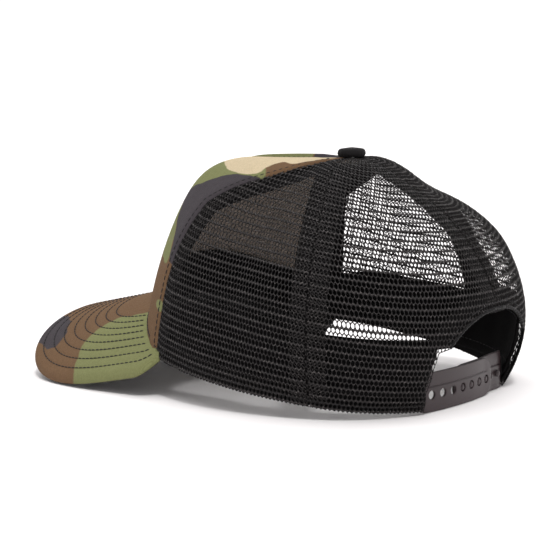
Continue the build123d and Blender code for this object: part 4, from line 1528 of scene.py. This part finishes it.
def cut_every(mesh, step, low, high):
    """Cuts a flat mesh across at an even step, so that it can bend."""
    with editing(mesh) as work:
        bmesh.ops.remove_doubles(work, verts=work.verts, dist=0.001)
        x = low + step
        while x < high:
            cut_through(work, (x, 0, 0), (1, 0, 0))
            x += step
        bmesh.ops.triangulate(work, faces=[f for f in work.faces if len(f.verts) > 4])
        bmesh.ops.recalc_face_normals(work, faces=work.faces)


TIP_ROUND, TIP_POWER = 9.0, 2.6   # length of the rounded tip, and how square it is


def strap_outline(root, tip):
    """The strap's side view: square root, rounded tip. Root and tip are places along X."""
    half = STRAP_HEIGHT / 2.0
    direction = 1.0 if tip > root else -1.0
    line = [(root, -half), (root, half)]
    reach = tip - direction * TIP_ROUND
    for step in range(21):
        turn = math.pi / 2.0 - math.pi * step / 20
        across = half * math.copysign(abs(math.sin(turn)) ** (2.0 / TIP_POWER), math.sin(turn))
        along = TIP_ROUND * abs(math.cos(turn)) ** (2.0 / TIP_POWER)
        line.append((reach + direction * along, across))
    return line


def circle(x, z, radius, count=28):
    turns = [2 * math.pi * k / count for k in range(count)]
    return [(x + radius * math.cos(turn), z + radius * math.sin(turn)) for turn in turns]


def bent(points, face):
    """Wraps flat strap points (along X, up, out) onto the strap's curve."""
    x = points[:, 0]
    slope = (face(x + 0.1) - face(x - 0.1)) / 0.2
    size = np.hypot(1.0, slope)
    out = points[:, 2] - STRAP_THICKNESS / 2.0
    up = points[:, 1] + STRAP_FOOT + STRAP_HEIGHT / 2.0
    reach = (1.0 - (np.abs(x) / HALF_WIDTH) ** OVAL_POWER) ** (1.0 / OVAL_POWER)
    hem = HALF_LENGTH * (1.0 - reach) * math.tan(math.radians(REST_TILT))
    tab = np.clip((np.abs(x) - OPENING_SIDES[0][0] + 1.0) / 3.0, 0.0, 1.0)
    up = up + np.maximum(0.0, hem + 1.0 - up) * tab
    up = up - np.maximum(0.0, up - STRAP_FOOT - STRAP_HEIGHT + 5.0) * tab
    return np.stack([x - slope / size * out, face(x) + out / size, up], axis=1)


TAB_REACH = 48.0                 # how far from the middle the sewn tabs go
STRAP_BEVEL = 0.28
BEND_STEP = 1.25                 # distance between the cuts across that let the strap bend


def strap_face(side_face, pivot_side):
    """The strap's curve, going on under the mesh as the sewn tab beyond the pivot."""
    def face(x):
        x = np.asarray(x, float)
        past = np.clip((x * pivot_side - STRAP_PIVOT_X) / 4.0, 0.0, 1.0)
        across = np.clip(np.abs(x) / HALF_WIDTH, 0.0, 0.99)
        oval_y = HALF_LENGTH * (1.0 - across ** OVAL_POWER) ** (1.0 / OVAL_POWER) - STRAP_DEPTH - 0.25
        return side_face(x) * (1.0 - past) + oval_y * past
    return face


HOLE_LIFT = -1.4                 # the holes lie below the strap's middle line
GROOVE_Z = 2.75                  # height of the moulded step above the middle line
LIP_Z = -7.6
TIP_SPRINGS = 0.55               # how far the outer half's tip stands off the inner half


def strap_relief(points, tip, root, springs):
    """The moulded step along the strap, and how far its tip springs away from the other half."""
    outer_face = points[:, 2] > 0.0
    fade = np.clip((np.abs(points[:, 0] - tip) - 4.0) / 1.2, 0.0, 1.0)
    fade *= np.clip(np.abs(root - points[:, 0]) / 2.0, 0.0, 1.0)
    step = 0.40 * np.exp(-(((points[:, 1] - GROOVE_Z) / 0.32) ** 2))
    lower = 0.10 * np.clip((points[:, 1] - GROOVE_Z) / 0.4, 0.0, 1.0)
    lip = 0.12 * np.exp(-(((points[:, 1] - LIP_Z) / 0.3) ** 2))
    points[:, 2] -= np.where(outer_face, (step + lower) * fade + lip, 0.0)
    points[:, 2] += springs * np.clip(1.0 - np.abs(points[:, 0] - tip) / 8.0, 0.0, 1.0) ** 1.5
    return points


def make_strap(name, holes, posts, face, root, tip, replaced):
    """One half of the strap with its holes or posts, whose curve goes on past its pivot as the sewn tab."""
    heights = [GROOVE_Z + d for d in (-0.9, -0.5, -0.25, 0.0, 0.25, 0.5, 0.9)]
    heights += [LIP_Z + d for d in (-0.5, 0.0, 0.5)]
    mesh = plate(strap_outline(root, tip), [circle(x, HOLE_LIFT, HOLE_RADIUS) for x in holes],
                 STRAP_THICKNESS, STRAP_BEVEL)
    cut_lengthwise(mesh, heights)
    cut_every(mesh, BEND_STEP, min(root, tip), max(root, tip))
    points = np.array([v.co for v in mesh.vertices])
    points = bent(strap_relief(points, tip, root, 0.0 if posts else TIP_SPRINGS), face)
    faces = [list(p.vertices) for p in mesh.polygons]
    points, faces = joined([(points, faces)] + [post(x, face) for x in posts])
    strap = new_object(name, points, faces, PLASTIC)
    bpy.data.meshes.remove(mesh)
    split = strap.modifiers.new("edges", "EDGE_SPLIT")
    split.split_angle = math.radians(38.0)
    apply_modifiers(strap)
    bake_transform(strap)
    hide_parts(*replaced)


def post(x, face):
    """A snap post with a rounded head."""
    profile = [(0.0, POST_HEIGHT), (0.6, POST_HEIGHT - 0.04), (1.1, POST_HEIGHT - 0.2),
               (1.55, POST_HEIGHT - 0.5), (POST_RADIUS, POST_HEIGHT - 0.95),
               (1.72, POST_HEIGHT - 1.2), (1.6, 0.3), (1.75, 0.08), (2.1, -0.02), (2.1, -0.5)]
    around = 24
    slope = float((face(x + 0.1) - face(x - 0.1)) / 0.2)
    outward = np.array([-slope, 1.0, 0.0]) / math.hypot(1.0, slope)
    along = np.array([1.0, slope, 0.0]) / math.hypot(1.0, slope)
    foot = np.array([x, float(face(x)), STRAP_FOOT + STRAP_HEIGHT / 2.0 + HOLE_LIFT])
    points = [foot + outward * profile[0][1]]
    for radius, height in profile[1:]:
        for k in range(around):
            turn = 2.0 * math.pi * k / around
            points.append(foot + outward * height + along * radius * math.cos(turn)
                          + np.array([0.0, 0.0, 1.0]) * radius * math.sin(turn))
    return np.array(points), ringed_faces(len(profile) - 1, around, inward=True)


def apply_modifiers(thing):
    graph = bpy.context.evaluated_depsgraph_get()
    mesh = bpy.data.meshes.new_from_object(thing.evaluated_get(graph))
    old = thing.data
    thing.modifiers.clear()
    thing.data = mesh
    bpy.data.meshes.remove(old)


# ---- Build ----


def on_cap(thing, slot, *nodes):
    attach(thing, "cap")
    if nodes:
        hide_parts(*nodes)
    return thing


def panel_area(low_seam, high_seam):
    """Area of a panel's cloth in square metres."""
    share = np.linspace(0.0, PANEL_TOP, 120)
    part = np.linspace(0.0, 1.0, 60)
    s, p = np.meshgrid(share, part, indexing="ij")
    angle = low_seam(s) + (high_seam(s) - low_seam(s)) * p
    points = look_up(CROWN, angle, s)
    a = points[1:, :-1] - points[:-1, :-1]
    b = points[:-1, 1:] - points[:-1, :-1]
    area = np.linalg.norm(np.cross(a, b), axis=-1).sum()
    return float(area) * MM * MM


# the cloth is doubled beside the seams: half-width of the strip, its depth under the mesh, and its top
DOUBLE_HALF, DOUBLE_DEPTH, DOUBLE_TOP = 10.2, 0.72, 0.90

front = on_cap(make_front_panel(), "twill", "front_panel")
backing = on_cap(make_backing(), "backing", "front_backing")

for side, mirrored in (("left", False), ("right", True)):
    seed = 5 if mirrored else 4
    panel = knit_panel(f"{side}_side_knit", front_seam, side_seam, False, mirrored, seed)
    on_cap(panel, "mesh", f"{side}_side_mesh")
    panel = knit_panel(f"{side}_back_knit", side_seam, centre_back, True, mirrored, seed + 10)
    on_cap(panel, "mesh", f"{side}_back_mesh")
    tape = strip(f"{side}_front_tape", front_seam, 13.4, 0.03, 0.9, 1.85, 0.5, mirrored, shift=3.6)
    on_cap(tape, "tape", f"{side}_front_seam_tape")
    tape = strip(f"{side}_side_tape", side_seam, 19.0, 0.02, 0.9, 1.5, 0.6, mirrored)
    on_cap(tape, "tape", f"{side}_side_seam_tape")

    double = knit_panel(f"{side}_side_seam_knit", beside(side_seam, -DOUBLE_HALF),
                        beside(side_seam, DOUBLE_HALF), False, mirrored, seed + 20, lowest=1.1, span=13.0,
                        under=DOUBLE_DEPTH, highest=DOUBLE_TOP)
    on_cap(double, "mesh")
    double = knit_panel(f"{side}_front_seam_knit", front_seam, beside(front_seam, 10.4), False, mirrored,
                        seed + 30, lowest=1.1, span=9.0, under=DOUBLE_DEPTH, highest=DOUBLE_TOP)
    on_cap(double, "mesh")
    on_cap(seam_fold(f"{side}_seam_folds", mirrored), "mesh")

on_cap(knit_panel("back_seam_knit", beside(centre_back, -DOUBLE_HALF), beside(centre_back, DOUBLE_HALF),
                  False, False, 77, lowest=OPENING_HEIGHT + 3.0, span=13.0, under=DOUBLE_DEPTH,
                  highest=DOUBLE_TOP), "mesh")
on_cap(strip("back_tape", centre_back, 19.0, (OPENING_HEIGHT + 2.0) / 156.0, 0.92, 1.5, 0.6),
       "tape", "back_seam_tape")
on_cap(make_binding(), "tape", "opening_binding")
edge, edge_thread = opening_edge()
on_cap(edge, "mesh")
on_cap(edge_thread, "thread")
hem_tape, hem_tape_length = make_hem_tape()
on_cap(hem_tape, "tape")
band, band_length = make_sweatband()
on_cap(band, "band", "sweatband")
on_cap(band_stitching(), "thread")
on_cap(hem_thread(), "thread", "hem_stitching")
on_cap(seam_threads(), "thread", "front_seam_stitching")
on_cap(dart_threads(), "thread", "dart_stitching")
on_cap(brim_seam_thread(), "thread")

top_cover = on_cap(make_visor_cover("visor_top_twill", True), "twill", "visor_top_cover")
under_cover = on_cap(make_visor_cover("visor_under_twill", False), "twill", "visor_under_cover")
on_cap(visor_threads(True), "thread", "visor_stitching")
on_cap(visor_threads(False), "thread")
on_cap(make_button(), "button_fabric", "button_cover")

holes = [FIRST_HOLE_X - SNAP_PITCH * k for k in range(SNAP_COUNT)]
left_tip = holes[-1] - TIP_MARGIN
make_strap("left_strap_moulding", holes, [], strap_face(outer_strap_y, 1.0), TAB_REACH, left_tip,
           ("left_strap", "left_strap_tab"))
posts = [FIRST_POST_X - SNAP_PITCH * k for k in range(SNAP_COUNT)]
posts = [x for x in posts if x > -STRAP_PIVOT_X + 2.0]
make_strap("right_strap_moulding", [], posts, strap_face(inner_strap_y, -1.0), -TAB_REACH,
           FIRST_POST_X + TIP_MARGIN, ("right_strap", "right_strap_tab"))

for node, made in (("visor_core", BOARD), ("button_shell", METAL), ("button_rivet", METAL)):
    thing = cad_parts[node]
    thing.data.materials.clear()
    thing.data.materials.append(made)


panel_area(lambda share: -front_seam(share), front_seam)
side_area, back_area = panel_area(front_seam, side_seam), panel_area(side_seam, centre_back)

# ---- Floor, light and camera ----


def add_plane(name, size):
    half = size / 2.0
    mesh = bpy.data.meshes.new(name)
    corners = [(-half, -half, 0), (half, -half, 0), (half, half, 0), (-half, half, 0)]
    mesh.from_pydata(corners, [], [(0, 1, 2, 3)])
    return linked(name, mesh)


floor = add_plane("studio_floor", 30.0)
floor.data.materials.append(floor_material())

BACKDROP = (-0.787, -0.603, 0.1)   # the world is brightest on this side, behind the cap
BACKDROP_SEEN = 1.10               # how bright the world itself looks, which is the same all round


def studio_world():
    """A pale studio: bright behind the cap, softer above and on the near side."""
    world = bpy.data.worlds.new("studio")
    bpy.context.scene.world = world
    world.use_nodes = True
    tree = world.node_tree
    ground = tree.nodes["Background"]
    ground.inputs["Color"].default_value = (1.0, 1.0, 1.0, 1.0)
    facing = add(tree, "ShaderNodeVectorMath", operation="DOT_PRODUCT")
    tree.links.new(add(tree, "ShaderNodeTexCoord").outputs["Generated"], facing.inputs[0])
    facing.inputs[1].default_value = BACKDROP
    ramp = add(tree, "ShaderNodeMapRange", interpolation_type="SMOOTHSTEP")
    tree.links.new(facing.outputs["Value"], ramp.inputs["Value"])
    for key, value in (("From Min", -0.3), ("From Max", 0.85), ("To Min", 0.46), ("To Max", 1.10)):
        ramp.inputs[key].default_value = value
    seen = add(tree, "ShaderNodeMix", data_type="FLOAT")
    wire(tree, add(tree, "ShaderNodeLightPath"), "Is Camera Ray", seen, "Factor")
    wire(tree, ramp, "Result", seen, "A")
    seen.inputs["B"].default_value = BACKDROP_SEEN
    wire(tree, seen, "Result", ground, "Strength")


def add_sun(name, power, spread, towards):
    sun = bpy.data.lights.new(name, "SUN")
    sun.energy = power
    sun.angle = math.radians(spread)
    thing = linked(name, sun)
    thing.rotation_mode = "QUATERNION"
    thing.rotation_quaternion = Vector(towards).to_track_quat("-Z", "Y")


studio_world()
add_sun("soft_sun", 1.25, 60.0, (-0.12, -0.10, -1.0))
add_sun("key_sun", 1.15, 7.0, (-0.34, -0.40, -1.0))
bpy.context.scene.view_settings.view_transform = "Standard"

CAMERA_AZIMUTH, CAMERA_ELEVATION, CAMERA_ROLL = 127.45, 7.296, -1.191
CAMERA_DISTANCE = 0.7729
CAMERA_TARGET = Vector((-0.0035, 0.0005, 0.0525))
CAMERA_LENS = 91.8


def add_camera():
    azimuth, elevation = math.radians(CAMERA_AZIMUTH), math.radians(CAMERA_ELEVATION)
    back = Vector((math.sin(azimuth) * math.cos(elevation), -math.cos(azimuth) * math.cos(elevation),
                   math.sin(elevation)))
    level = Vector((0, 0, 1)).cross(back).normalized()
    tall = back.cross(level)
    roll = math.radians(CAMERA_ROLL)
    right = level * math.cos(roll) + tall * math.sin(roll)
    up = tall * math.cos(roll) - level * math.sin(roll)
    data = bpy.data.cameras.new("camera")
    data.lens = CAMERA_LENS
    data.sensor_width = 36.0
    data.clip_start, data.clip_end = 0.01, 50.0
    camera = linked("camera", data)
    turn = Matrix((right, up, back)).transposed()
    camera.matrix_world = Matrix.Translation(CAMERA_TARGET + back * CAMERA_DISTANCE) @ turn.to_4x4()
    bpy.context.scene.camera = camera


add_camera()
